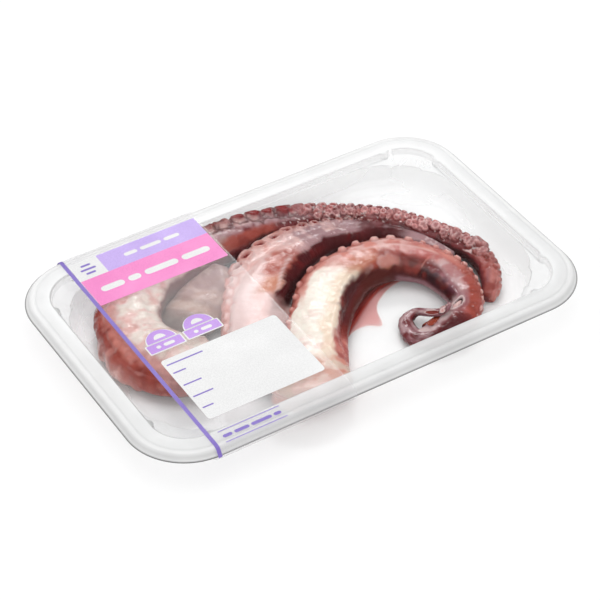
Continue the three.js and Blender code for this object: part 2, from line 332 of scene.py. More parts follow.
ARM_BACK = [
    (-63.8, -16, 17, 15.4, -15, 0),
    (-76.6, -10.9, 19.6, 17, -15, 0),
    (-85.6, 2.6, 19.4, 17.6, -15, 0),
    (-87.2, 17.6, 17.7, 17.6, -10, 0),
    (-81.5, 33, 17, 17.6, 0, 0),
    (-70, 45, 16, 17.6, 10, 0),
    (-54, 52.5, 14.5, 17.6, 18, 0),
    (-36, 56, 13.2, 17.6, 24, 0),
    (-18, 57, 12.2, 17.6, 26, 0),
    (0, 57.5, 11, 17.2, 32, 0),
    (18, 55, 10.2, 16.2, 45, 0),
    (36, 49.8, 9.4, 15.2, 55, 0),
    (50, 43.8, 8.6, 14, 60, 0),
    (63, 36, 8, 13, 62, 0),
    (75, 25.5, 7.5, 12, 62, 0),
    (84.5, 12.2, 7.5, 11, 60, 0),
    (91.7, -1.3, 7.3, 10.4, 50, 0),
    (95.6, -13.2, 6.9, 9.8, 45, 0),
    (95.2, -22.8, 6.7, 9.4, 35, 0),
    (92.4, -32.2, 6, 9, 25, 0),
    (88, -39.8, 5.2, 8.2, 15, 0),
    (82.5, -45, 4, 6.6, 15, 0),
]
SKIN_WEB = [
    (-67, 10, 8, 6.5, 0, 0),
    (-59, 17, 14, 8, 0, 0),
    (-47, 25, 15, 9.5, 0, 0),
    (-35, 34, 12, 10.5, 0, 0),
    (-24, 42, 8, 11, 0, 0),
]
SECTION_POWER = 2.35
SLOT_AT = 203.5
RING_AT, RING_LEVEL = 184.5, 113
# Sucker spacing in its row, as a share of the arm's half width, by distance along the arm.
FRONT_PITCH = ((0, 0.56), (115, 0.54), (150, 0.38), (260, 0.38))
MIDDLE_PITCH = ((0, 0.42), (230, 0.42))
BACK_PITCH = ((0, 0.56), (98, 0.56), (112, 0.72), (176, 0.72), (196, 0.56), (330, 0.56))
SMALLEST_PITCH = 4.0
ROW_ANGLE = 24.0
FINE_SIDE = 62.0
LINE_SAMPLES = 3000
MOAT_DEPTH = 0.35
# Each row of points in an arm's rounded end: share of the last ring's size, share of the bulge.
END_ROWS = ((0.85, 0.55), (0.6, 0.85), (0.3, 1.0))
END_BULGE = 0.18
END_WET = 0.5


def catmull(points, t, centripetal):
    """Catmull-Rom values at t in 0..1, with the end points mirrored."""
    p = np.asarray(points, float)
    q = np.vstack([2 * p[0] - p[1], p, 2 * p[-1] - p[-2]])
    u = np.clip(t, 0, 1) * (len(p) - 1)
    k = np.minimum(u.astype(int), len(p) - 2)
    w = (u - k)[:, None]
    x0, x1, x2, x3 = q[k], q[k + 1], q[k + 2], q[k + 3]
    if centripetal:
        d0, d1, d2 = (
            np.maximum(((b - a) ** 2).sum(1, keepdims=True) ** 0.25, 1e-4)
            for a, b in ((x0, x1), (x1, x2), (x2, x3))
        )
        t1 = ((x1 - x0) / d0 - (x2 - x0) / (d0 + d1) + (x2 - x1) / d1) * d1
        t2 = ((x2 - x1) / d1 - (x3 - x1) / (d1 + d2) + (x3 - x2) / d2) * d1
    else:
        t1, t2 = 0.5 * (x2 - x0), 0.5 * (x3 - x1)
    cubic = 2 * x1 - 2 * x2 + t1 + t2
    square = -3 * x1 + 3 * x2 - 2 * t1 - t2
    return x1 + t1 * w + square * w**2 + cubic * w**3


class Sweep:
    """A tapering arm: rings of points along its stations, and where each point lies on it.

    s is the distance along the arm and side the angle round it, from the sucker side. level is
    the angle in the world: 0 outward, 90 on top, 180 inward and -90 or 270 underneath.
    """

    def __init__(self, stations, step, fine, coarse, seed, pitch=BACK_PITCH):
        a = np.array(stations, float)
        centre = np.c_[a[:, 0], a[:, 1], FLOOR_Z + a[:, 5] + a[:, 3] / 2]
        t = np.linspace(0, 1, LINE_SAMPLES)
        line = catmull(centre, t, True)
        size = catmull(a[:, 2:5], t, False)
        length = np.r_[0, np.cumsum(np.linalg.norm(np.diff(line, axis=0), axis=1))]
        self.total = length[-1]
        s = np.linspace(0, self.total, int(self.total / step) + 1)
        self.centre = np.stack([np.interp(s, length, line[:, i]) for i in range(3)], 1)
        half, height, turn = (np.interp(s, length, size[:, i]) for i in range(3))
        ahead = np.gradient(self.centre, axis=0)
        ahead /= np.linalg.norm(ahead, axis=1, keepdims=True)
        outward = np.c_[-ahead[:, 1], ahead[:, 0], 0 * ahead[:, 0]]
        outward /= np.linalg.norm(outward, axis=1, keepdims=True)
        self.outward = outward
        side = np.r_[
            np.linspace(-FINE_SIDE, FINE_SIDE, fine, endpoint=False),
            np.linspace(FINE_SIDE, 360 - FINE_SIDE, coarse, endpoint=False),
        ]
        self.s, self.side = np.meshgrid(s, side, indexing="ij")
        self.turned = (self.side + 180) % 360 - 180
        self.half, self.height = half[:, None] + 0 * self.side, height[:, None] + 0 * self.side
        angle = np.radians(side[None] + turn[:, None])
        self.level = (side[None] + turn[:, None] + 90) % 360 - 90
        across, up = (
            np.sign(wave) * np.abs(wave) ** (2 / SECTION_POWER)
            for wave in (np.cos(angle), np.sin(angle))
        )
        self.points = (
            self.centre[:, None]
            + outward[:, None] * (half[:, None] * across)[..., None]
            + np.array([0, 0, 1.0]) * (height[:, None] / 2 * up)[..., None]
        )
        self.normals = self.find_normals()
        self.suckers = self.place_suckers(s, half, seed, np.array(pitch))

    def find_normals(self):
        along = np.gradient(self.points, axis=0)
        ring = np.roll(self.points, -1, axis=1) - np.roll(self.points, 1, axis=1)
        n = np.cross(ring, along)
        n /= np.maximum(np.linalg.norm(n, axis=2, keepdims=True), 1e-9)
        outwards = np.einsum("ijk,ijk->ij", n, self.points - self.centre[:, None])
        return n * np.where(outwards.mean() < 0, -1.0, 1.0)

    def place_suckers(self, s, half, seed, pitches):
        """Suckers as [distance, side angle, radius, paleness], in two staggered rows."""
        draw = np.random.RandomState(seed)
        found = []
        distance, row = 0.0, ROW_ANGLE
        while distance < self.total - 1.0:
            width = float(np.interp(distance, s, half))
            share = float(np.interp(distance, pitches[:, 0], pitches[:, 1]))
            pitch = max(width * share, min(SMALLEST_PITCH, width * 1.1))
            found.append([
                distance + draw.uniform(-0.1, 0.1) * pitch,
                row * draw.uniform(0.85, 1.15),
                pitch * 0.5 * draw.uniform(0.84, 1.12),
                draw.uniform(0.35, 1.0),
            ])
            distance += pitch / 2
            row = -row
        return found

    def add_knobs(self, start, end, low, high, count, smallest, largest, seed):
        """Small extra suckers scattered between two distances and two side angles."""
        draw = np.random.RandomState(seed)
        limits = ((start, end), (low, high), (smallest, largest), (0.2, 1.0))
        for _ in range(count):
            self.suckers.append([draw.uniform(*limit) for limit in limits])

    def raise_suckers(self, style):
        """Raises the suckers by rows of (distance, rise, size, depth of the hollow).

        Returns where their hollows, lips, caps, moats and paler caps lie, each from 0 to 1.
        """
        table = np.array(style, float)
        hollow, lip, cap, moat, pale, lift = (np.zeros_like(self.s) for _ in range(6))
        jitter = Noise(97)
        warp = 0.22 * jitter(self.points / 2.2) + 0.1 * jitter(self.points / 0.9 + 5)
        arc = self.half + self.height / 2
        for distance, row, spread, paleness in self.suckers:
            rise, size, depth = (np.interp(distance, table[:, 0], table[:, k]) for k in (1, 2, 3))
            radius = spread * size
            across = np.radians(self.turned - row) * arc / 2
            # How far each point is from the sucker's middle, as a share of its radius.
            d = np.hypot(self.s - distance, across * 0.92) / radius * (1 + warp)
            near = d < 1.8
            dn = d[near]
            shown = min(rise * 2, 1)
            stem = np.sqrt(np.clip(1.04 - dn**2, 0, 1))
            cup = smoothstep(0.62, 0.25, dn)
            ring = hump(dn, 0.74, 0.17)
            around = hump(dn, 1.3, 0.22)
            bump = radius * rise * (stem + ring * 0.3 * depth - cup * depth)
            lift[near] = np.maximum(lift[near], bump)
            hollow[near] = np.maximum(hollow[near], cup * shown)
            lip[near] = np.maximum(lip[near], ring * shown)
            disc = smoothstep(1.02, 0.72, dn) * shown
            cap[near] = np.maximum(cap[near], disc)
            pale[near] = np.maximum(pale[near], disc * paleness)
            moat[near] = np.maximum(moat[near], around * shown)
        moat = moat * (1 - cap)
        self.points = self.points + self.normals * (lift - MOAT_DEPTH * moat)[..., None]
        return hollow, lip, cap, moat, pale

    def push(self, amount):
        """Moves the points outwards by an amount each."""
        self.points = self.points + self.normals * amount[..., None]

    def piece(self, name, material, slot, node, tone, wet):
        """The arm as a closed mesh with rounded ends, which replaces a node of the part."""
        rows, columns = self.s.shape
        points = [self.points.reshape(-1, 3)]
        tones = [tone.reshape(-1, 3)]
        faces = grid_faces(rows, columns, True)
        start = rows * columns
        for ring, sign in ((0, -1.0), (rows - 1, 1.0)):
            loop = self.points[ring]
            middle = loop.mean(0)
            ahead = self.centre[min(ring + 1, rows - 1)] - self.centre[max(ring - 1, 0)]
            ahead = ahead / np.linalg.norm(ahead) * sign
            last = ring * columns + np.arange(columns)
            for share, bulge in END_ROWS:
                inner = middle + (loop - middle) * share
                inner = inner + ahead * bulge * float(self.half[ring, 0]) * END_BULGE
                points.append(keep_in_basin(inner))
                tones.append(tone[ring])
                now = start + np.arange(columns)
                faces += np.stack([last, np.roll(last, -1), np.roll(now, -1), now], 1).tolist()
                last = now
                start += columns
            faces.append(last.tolist())
        piece = add_mesh(name, np.concatenate(points), faces)
        end_wet = np.full(start - rows * columns, END_WET)
        write_tone(piece, np.concatenate(tones), np.r_[wet.ravel(), end_wet])
        dress(piece, material)
        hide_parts(node)


# ---- flesh colours --------------------------------------------------------------------------

FLESH_SHARE = 0.88


def flesh(*rgb):
    """Albedo that shows as the given 0-255 display colour under this scene's light and gloss."""
    return linear(rgb) * FLESH_SHARE


CREAM = flesh(255, 246, 234)
BUFF = flesh(244, 216, 186)
BLUSH = flesh(240, 200, 194)
PALE = flesh(236, 214, 212)
SALMON = flesh(222, 146, 134)
TAN = flesh(208, 136, 106)
ROSE = flesh(186, 98, 94)
BRICK = flesh(168, 78, 66)
RUST = flesh(134, 54, 48)
CRIMSON = flesh(120, 20, 22)
MAROON = flesh(116, 46, 50)
WINE = flesh(80, 20, 24)
# Near-black wine: the skin's darkest tone, and also painted shade in the gaps between the arms, in hollows
# and on inner walls that face away from the light.
DEEP_WINE_AND_SHADE = flesh(44, 6, 9)
PURPLE = flesh(84, 40, 54)
SAND = flesh(230, 204, 188)
PETAL = flesh(232, 158, 156)
# Dark brown: the front arm's darker blotches, and painted shade on its inner wall and on the juice under
# it.
DARK_BROWN_AND_SHADE = flesh(88, 32, 27)
SCARLET = flesh(150, 22, 24)
FIERY = flesh(190, 58, 34)
EMBER = flesh(156, 66, 46)
WHITISH = flesh(250, 232, 230)
# Grey-mauve: the skin's own mauve in places, and painted sheen where it lies in strips along the front
# arm's inner wall.
MAUVE_AND_SHEEN = flesh(156, 108, 116)
# Pale lilac: the skin's own lilac in places, and painted sheen in strips and clouds along the arms' tops
# and inner walls.
LILAC_AND_SHEEN = flesh(180, 144, 148)
SLATE = flesh(168, 138, 130)
# Grey-brown painted shade, for skin that lies in shadow.
PAINTED_SHADE = flesh(112, 98, 92)


class Paint:
    """Colour over an arm, laid on as soft patches in distance along it and level angle.

    The patches' edges drift along the arm and sway round it by the seeded noise.
    """

    def __init__(self, sweep, ground, seed):
        self.sweep = sweep
        jitter = Noise(seed)
        p = sweep.points
        self.drift = 4.0 * jitter(p / 9.0) + 2.0 * jitter(p / 3.1 + 11)
        self.sway = 8.0 * jitter(p / 8.0 + 5) + 5.0 * jitter(p / 2.7 + 3)
        around = np.stack([sweep.s / 3.6, sweep.level / 42, 0 * sweep.s], -1)
        self.marble = 0.6 * jitter(p / 5.2 + 21) + 0.35 * jitter(p / 2 + 8) + 0.5 * jitter(around)
        self.specks = jitter(p / 1.25 + 17) + 0.4 * jitter(p / 5 + 2)
        self.colour = np.broadcast_to(ground, (*p.shape[:2], 3)).copy()

    def area(self, start, end, low, high, soft_s=7.0, soft_a=9.0):
        """Where a patch lies, from 0 to 1, with edges soft along the arm and round it."""
        along = window(self.sweep.s + self.drift, start, end, soft_s)
        return along * window(self.sweep.level + self.sway, low, high, soft_a)

    def patch(self, colour, start, end, low, high, strength=1.0, soft_s=7.0, soft_a=9.0):
        """Blends colour in between the distances start..end and the level angles low..high."""
        self.blend(colour, self.area(start, end, low, high, soft_s, soft_a) * strength)

    def marbling(self, colour, start, end, low, high, strength=1.0, more=0.0):
        """The same, broken up into veins and clouds."""
        broken = smoothstep(-0.25, 0.38, self.marble + more)
        self.blend(colour, self.area(start, end, low, high) * broken * strength)

    def specking(self, colour, start, end, low, high, strength=1.0, least=0.55):
        """The same, as small flecks."""
        flecks = smoothstep(least, least + 0.2, self.specks)
        self.blend(colour, self.area(start, end, low, high) * flecks * strength)

    def blend(self, colour, weight):
        w = np.clip(weight, 0, 1)[..., None]
        self.colour = self.colour * (1 - w) + np.asarray(colour) * w


# ---- materials ------------------------------------------------------------------------------


class Nodes:
    """Short names for building one material's node tree."""

    def __init__(self, name):
        self.material = bpy.data.materials.new(name)
        self.material.use_nodes = True
        self.tree = self.material.node_tree
        self.shader = self.tree.nodes["Principled BSDF"]
        self.out = self.tree.nodes["Material Output"]

    def add(self, kind, **values):
        node = self.tree.nodes.new("ShaderNode" + kind)
        for key, value in values.items():
            setattr(node, key, value)
        return node

    def link(self, source, target):
        self.tree.links.new(source, target)

    def place(self):
        return self.add("TexCoord").outputs["Object"]

    def noise(self, scale, detail=2.0, rough=0.5, distortion=0.0, where=None):
        node = self.add("TexNoise")
        names = ("Scale", "Detail", "Roughness", "Distortion")
        for key, number in zip(names, (scale, detail, rough, distortion)):
            node.inputs[key].default_value = number
        self.link(where or self.place(), node.inputs["Vector"])
        return node.outputs["Fac"]

    def span(self, value, low, high, to_low, to_high):
        """Maps low..high to to_low..to_high."""
        node = self.add("MapRange")
        names = ("From Min", "From Max", "To Min", "To Max")
        for key, number in zip(names, (low, high, to_low, to_high)):
            node.inputs[key].default_value = number
        self.link(value, node.inputs["Value"])
        return node.outputs["Result"]

    def put(self, socket, value):
        """Links an output to a socket, or sets the socket to a constant."""
        if hasattr(value, "links"):
            self.link(value, socket)
        else:
            socket.default_value = value

    def put_all(self, values):
        """Sets or links the shader's own sockets, by their names."""
        for name, value in values.items():
            self.put(self.shader.inputs[name], value)

    def mix(self, share, a, b, blend="MIX"):
        node = self.add("Mix", data_type="RGBA", blend_type=blend)
        self.put(node.inputs[0], share)
        for value, key in ((a, 6), (b, 7)):
            self.put(node.inputs[key], value if hasattr(value, "links") else (*value, 1.0))
        return node.outputs[2]

    def multiply(self, colour, factor):
        return self.mix(1.0, colour, factor, "MULTIPLY")

    def tone(self):
        return self.add("Attribute", attribute_name="tone").outputs["Color"]

    def wet(self):
        return self.add("Attribute", attribute_name="wet").outputs["Fac"]

    def math(self, operation, a, b):
        node = self.add("Math", operation=operation)
        self.put(node.inputs[0], a)
        self.put(node.inputs[1], b)
        return node.outputs[0]

    def see_through(self, share, tint):
        """Mixes the shader, by share, with clear of the given tint."""
        clear = self.add("BsdfTransparent")
        clear.inputs["Color"].default_value = (*tint, 1)
        both = self.add("MixShader")
        for socket, source in enumerate((share, clear.outputs[0], self.shader.outputs[0])):
            self.link(source, both.inputs[socket])
        self.link(both.outputs[0], self.out.inputs["Surface"])

    def bump(self, height, strength, distance, under=None):
        node = self.add("Bump")
        node.inputs["Strength"].default_value = strength
        node.inputs["Distance"].default_value = distance
        self.link(height, node.inputs["Height"])
        if under is not None:
            self.link(under, node.inputs["Normal"])
        return node.outputs["Normal"]


def flesh_material(name, mottle, speckle, bump_strength):
    """Moist cooked flesh or skin: painted tone, mottling, fine speckles, fine wrinkles and gloss."""
    n = Nodes(name)
    tone, wet = n.tone(), n.wet()
    cloud = n.noise(170, 3.0, 0.6, 0.6)
    fine = n.noise(900, 3.0, 0.65)
    streak_map = n.add("Mapping")
    streak_map.inputs["Scale"].default_value = (1.0, 1.0, 3.0)
    n.link(n.place(), streak_map.inputs["Vector"])
    streak = n.noise(420, 4.0, 0.6, 1.2, streak_map.outputs["Vector"])
    darker = n.multiply(tone, (0.72, 0.5, 0.46))
    colour = n.mix(n.span(cloud, 0.42, 0.72, 0.0, mottle), tone, darker)
    paler = n.mix(0.05, n.multiply(colour, (1.55, 1.5, 1.5)), (0.9, 0.7, 0.7))
    colour = n.mix(n.span(streak, 0.55, 0.75, 0.0, mottle * 0.55), colour, paler)
    cells = n.add("TexVoronoi")
    cells.inputs["Scale"].default_value = 1300
    n.link(n.place(), cells.inputs["Vector"])
    dots = n.span(cells.outputs["Distance"], 0.12, 0.3, speckle, 0.0)
    colour = n.mix(dots, colour, n.multiply(colour, (0.45, 0.28, 0.28)))
    folds = n.bump(streak, bump_strength, 0.0006)
    n.put_all({
        "Base Color": colour,
        "Roughness": n.math("ADD", n.span(fine, 0.3, 0.7, 0.2, 0.36), n.math("MULTIPLY", wet, -0.12)),
        "Specular IOR Level": 0.12,
        "Subsurface Weight": 0.1,
        "Subsurface Radius": (1.0, 0.35, 0.25),
        "Subsurface Scale": 0.0014,
        "Coat Weight": wet,
        "Coat Roughness": 0.06,
        "Coat IOR": 1.42,
        "Normal": n.bump(fine, bump_strength * 0.55, 0.00025, folds),
        "Coat Normal": n.bump(n.noise(520), 0.35, 0.0007),
    })
    return n.material


def clear_material(name, haze, edge, rough, gloss=0.5, waves=(40.0, 0.05), colour=None):
    """Thin clear plastic: mostly see-through, hazier where it turns away from the eye.

    haze and edge are how much it shows face on and edge on, and waves the scale and the strength
    of its unevenness. Without a colour, it has the piece's painted tone and at least its haze.
    """
    n = Nodes(name)
    if colour is None:
        tone = n.tone()
        base = n.mix(n.span(n.noise(90, 3.0), 0.3, 0.7, 0.0, 0.5), tone, n.multiply(tone, (0.9, 0.9, 0.9)))
    else:
        base = (*colour, 1)
    scale, strength = waves
    n.put_all({
        "Base Color": base,
        "Roughness": rough,
        "Specular IOR Level": gloss,
        "Normal": n.bump(n.noise(scale), strength, 0.002),
    })
    facing = n.add("LayerWeight")
    facing.inputs["Blend"].default_value = 0.35
    turned_away = n.span(facing.outputs["Facing"], 0.25, 1.0, haze, edge)
    cloud = n.span(n.noise(24.0), 0.3, 0.7, -haze * 0.25, haze * 0.25)
    share = n.math("ADD", turned_away, cloud)
    if colour is None:
        share = n.math("MAXIMUM", share, n.wet())
    n.see_through(share, (0.997, 0.999, 1.0))
    return n.material


def juice_material():
    """Thin clear pink juice, redder in clouds."""
    n = Nodes("juice_pink")
    cloud = n.noise(60)
    tone = n.tone()
    redder = n.multiply(tone, (0.86, 0.7, 0.68))
    n.put_all({
        "Base Color": n.mix(n.span(cloud, 0.45, 0.75, 0.0, 1.0), tone, redder),
        "Roughness": n.span(cloud, 0.3, 0.7, 0.3, 0.45),
        "Specular IOR Level": 0.15,
        "Normal": n.bump(n.noise(160), 0.3, 0.0006),
    })
    share = n.math("MULTIPLY", n.wet(), n.span(cloud, 0.3, 0.7, 0.88, 1.0))
    n.see_through(share, (1.0, 0.93, 0.91))
    return n.material


def shadow_sheet_material():
    """A glossy, opaque, near-black wine red for the painted shadow sheet."""
    n = Nodes("painted_shadow_dark")
    cloud = n.noise(150)
    deep, red = linear((52, 8, 10)), linear((92, 20, 20))
    n.put_all({
        "Base Color": n.mix(n.span(cloud, 0.4, 0.7, 0.0, 1.0), deep, red),
        "Roughness": n.span(cloud, 0.3, 0.7, 0.12, 0.3),
        "Specular IOR Level": 0.3,
        "Normal": n.bump(n.noise(220), 0.2, 0.0005),
    })
    return n.material


def ink_material(name, *rgb):
    """Printed ink on film: solid colour with faint press grain and the film's gloss."""
    n = Nodes(name)
    colour = linear(rgb)
    paler = np.minimum(colour * 1.12 + 0.02, 1)
    n.put_all({
        "Base Color": n.mix(n.span(n.noise(1600, 2.0, 0.6), 0.35, 0.65, 0.0, 1.0), colour, paler),
        "Roughness": n.span(n.noise(60), 0.3, 0.7, 0.28, 0.42),
        "Specular IOR Level": 0.3,
    })
    return n.material


FLESH = flesh_material("octopus_flesh_wet", mottle=0.25, speckle=0.12, bump_strength=0.3)
SKIN = flesh_material("octopus_skin_wet", mottle=0.6, speckle=0.4, bump_strength=0.5)
TRAY_PLASTIC = clear_material("tray_clear", haze=0.05, edge=0.5, rough=0.2, gloss=0.12)
FILM_CLEAR = clear_material(
    "film_clear", haze=0.003, edge=0.09, rough=0.06, waves=(26.0, 0.12), colour=(0.95, 0.96, 0.97)
)
SLEEVE_CLEAR = clear_material("sleeve_clear", haze=0.1, edge=0.4, rough=0.14, waves=(18.0, 0.1))

# ---- the octopus ----------------------------------------------------------------------------


def shape_arm(sweep, style, seed, brim, lumps=0.35, wrinkle=0.12):
    """Raises the suckers, then lumps, wrinkles and a brim along both sides of the sucker rows."""
    marks = sweep.raise_suckers(style)
    lump = Noise(seed)
    p = sweep.points
    scale = np.minimum(sweep.half / 14, 1)
    off_rows = np.abs(sweep.turned)
    rough = lumps * lump(p / 11) + wrinkle * lump(p / 2.6 + 7)
    edge = brim * (hump(off_rows, 60, 8) - hump(off_rows, 48, 5))
    sweep.push((rough * (0.4 + 0.6 * smoothstep(30, 60, off_rows)) + edge) * scale)
    sweep.points = keep_in_basin(sweep.points)
    return marks


def wander(along):
    """The shared noise along one measure of an arm."""
    return noise(np.stack([along, 0 * along, 0 * along], -1))


def ribs(sweep, start, end, low, high, height, pitch, seed):
    """Fine ribs that run round the arm; returns where they rise and fall."""
    line = Noise(seed)
    lines = line(np.stack([sweep.s / pitch, sweep.level / 30, 0 * sweep.s], -1))
    lines = lines * window(sweep.s, start, end, 6) * window(sweep.level, low, high, 6)
    sweep.push(height * lines)
    return lines


def lens(arm, at, length, level, spread):
    """A lens-shaped field on the arm, 1 in its middle and 0 outside."""
    return np.clip(1 - ((arm.s - at) / length) ** 2 - ((arm.level - level) / spread) ** 2, 0, 1)


def fine_line(arm, at, low, high, width):
    """A thin line that runs round the arm at a distance along it."""
    return hump(arm.s + 1.1 * wander(arm.level / 16), at, width) * window(arm.level, low, high, 5)


def length_line(arm, level, start, end, width):
    """A thin line that runs along the arm at a level angle."""
    return hump(arm.level + 5 * wander(arm.s / 13), level, width) * window(arm.s, start, end, 4)


def ring_sucker(arm):
    """A wide flat sucker with a raised rim; returns where its rim, hollow and core lie."""
    along = arm.s - RING_AT
    leaning = arm.level - RING_LEVEL - 0.9 * along
    d = np.hypot(along / 6.4, leaning / 16)
    core = np.hypot((along - 1.0) / 4.5, (leaning + 2) / 8.5)
    island = smoothstep(1.05, 0.75, core)
    inside = smoothstep(0.84, 0.68, d)
    hole = inside * (1 - island)
    rim = smoothstep(1.15, 0.98, d) * (1 - inside)
    arm.push(0.9 * smoothstep(1.3, 0.95, d) - 1.5 * hole)
    return rim, hole, island * inside


def paint_front_base(paint):
    """The cream back and the dark inner wall of the front arm's thick part; the wall's darkness is partly
    its own colour, partly painted shade.
    """
    paint.patch(CREAM, 12, 92, 38, 124, 1.0, 6, 5)
    paint.patch(SAND, -20, 24, -60, 175, 0.9)
    paint.marbling(BLUSH, -10, 30, 20, 150, 0.7, 0.1)
    paint.marbling(TAN, 2, 28, 84, 165, 0.75)
    paint.patch(SALMON, -20, 10, -90, 16, 0.7)
    paint.patch(BUFF, 22, 96, 98, 122, 0.6, 10, 6)
    paint.marbling(BLUSH, 10, 92, 44, 96, 0.35, -0.1)
    paint.patch(SALMON, 14, 100, -60, 38, 0.9, 8, 5)
    paint.patch(SALMON, 64, 104, -60, 58, 0.85, 7, 6)
    paint.patch(BRICK, 24, 104, -60, 30, 0.7, 8, 6)
    paint.patch(BRICK, 72, 106, -60, 48, 0.7, 7, 6)
    paint.patch(ROSE, 26, 60, 124, 280, 0.9, 6, 6)
    paint.marbling(SALMON, 14, 46, 126, 280, 0.7, 0.1)
    # Painted shade: the inner wall darkened in rust, brown and near-black wine, partly its own colour.
    paint.patch(RUST, 44, 106, 126, 215, 1.0, 8, 5)
    paint.patch(DARK_BROWN_AND_SHADE, 54, 112, 130, 186, 0.8, 8, 8)
    paint.marbling(PURPLE, 56, 104, 124, 166, 0.3, 0.0)
    paint.marbling(DEEP_WINE_AND_SHADE, 62, 104, 120, 140, 0.6)
    paint.patch(DARK_BROWN_AND_SHADE, 56, 142, 172, 280, 0.92, 8, 6)
    paint.patch(SALMON, 92, 168, -60, 92, 0.95, 8, 10)
    paint.patch(ROSE, 118, 165, 74, 120, 0.85, 8, 9)
    paint.marbling(ROSE, 106, 160, 36, 88, 0.55, -0.05)
    paint.patch(TAN, 92, 112, 86, 116, 0.55, 6, 7)
    paint.marbling(BLUSH, 94, 130, 52, 96, 0.75, 0.0)
    paint.blend(BLUSH, length_line(paint.sweep, 80, 100, 146, 4) * 0.6)


def paint_front_bend(paint):
    """The front arm's bend, with its dark blotch and the folded skin inside, painted shade on its inner
    wall and a painted sheen strip.
    """
    paint.patch(RUST, 114, 148, 98, 160, 0.95, 7, 9)
    paint.marbling(DARK_BROWN_AND_SHADE, 120, 150, 108, 165, 0.85, 0.15)
    paint.patch(DARK_BROWN_AND_SHADE, 96, 124, 134, 190, 1.0, 6, 8)
    paint.marbling(PALE, 104, 122, 106, 134, 0.5, 0.1)
    paint.marbling(TAN, 104, 124, 110, 144, 0.45, -0.1)
    paint.marbling(ROSE, 108, 126, 100, 140, 0.4, -0.1)
    # Painted shade on the inner wall below the bend, partly its own dark wine.
    paint.patch(WINE, 118, 168, 156, 200, 0.95, 8, 8)
    paint.patch(WINE, 145, 178, 122, 170, 0.9, 4, 8)
    paint.patch(MAROON, 145, 155, 96, 130, 0.9, 3, 7)
    paint.marbling(PURPLE, 146, 168, 118, 165, 0.8, 0.0)
    paint.marbling(DEEP_WINE_AND_SHADE, 140, 176, 130, 162, 0.9, 0.1)
    paint.patch(MAUVE_AND_SHEEN, 154, 180, 100, 124, 0.85, 4, 6)
    paint.marbling(PURPLE, 154, 176, 116, 136, 0.8, 0.15)
    paint.marbling(PALE, 149, 172, 80, 104, 0.7, 0.25)
    paint.patch(LILAC_AND_SHEEN, 154, 182, 80, 104, 0.55, 6, 8)
    # Painted sheen: a mauve and lilac strip along the inner wall's lower side.
    paint.patch(MAUVE_AND_SHEEN, 124, 182, 172, 240, 0.9, 6, 7)
    paint.patch(LILAC_AND_SHEEN, 150, 182, 186, 240, 0.8, 6, 7)
    paint.blend(SALMON, fine_line(paint.sweep, 143.4, 92, 132, 0.45) * 0.55)
    paint.patch(BRICK, 157, 192, -60, 80, 0.85, 6, 8)
    paint.marbling(ROSE, 160, 190, 10, 90, 0.7, 0.1)
    paint.marbling(RUST, 164, 172, 30, 92, 0.5, 0.0)
    paint.patch(MAUVE_AND_SHEEN, 176, 192, 84, 122, 0.7, 6, 8)
    paint.patch(WINE, 168, 184, 130, 178, 0.9, 5, 8)


def paint_front_tip(paint):
    """The front arm's dark, pale-streaked end."""
    paint.patch(MAROON, 190, 320, -90, 270, 1.0, 4, 20)
    paint.patch(WINE, 190, 214, -90, 92, 0.9, 5, 7)
    paint.marbling(WINE, 206, 236, -90, 66, 0.75, 0.1)
    paint.marbling(MAUVE_AND_SHEEN, 212, 240, 16, 104, 0.9, 0.3)
    paint.marbling(PALE, 214, 234, 40, 100, 0.6, 0.0)
    paint.marbling(LILAC_AND_SHEEN, 214, 236, 30, 100, 0.7, 0.0)
    paint.patch(LILAC_AND_SHEEN, 190, 224, 102, 134, 0.85, 5, 7)
    paint.patch(LILAC_AND_SHEEN, 178, 202, 122, 165, 0.85, 4, 8)
    paint.marbling(PALE, 178, 222, 106, 150, 0.6, 0.1)
    paint.patch(WINE, 214, 240, 128, 230, 1.0, 5, 9)
    paint.patch(MAUVE_AND_SHEEN, 238, 262, 40, 210, 0.85, 4, 16)
    paint.marbling(PALE, 240, 262, 70, 160, 0.7, 0.1)


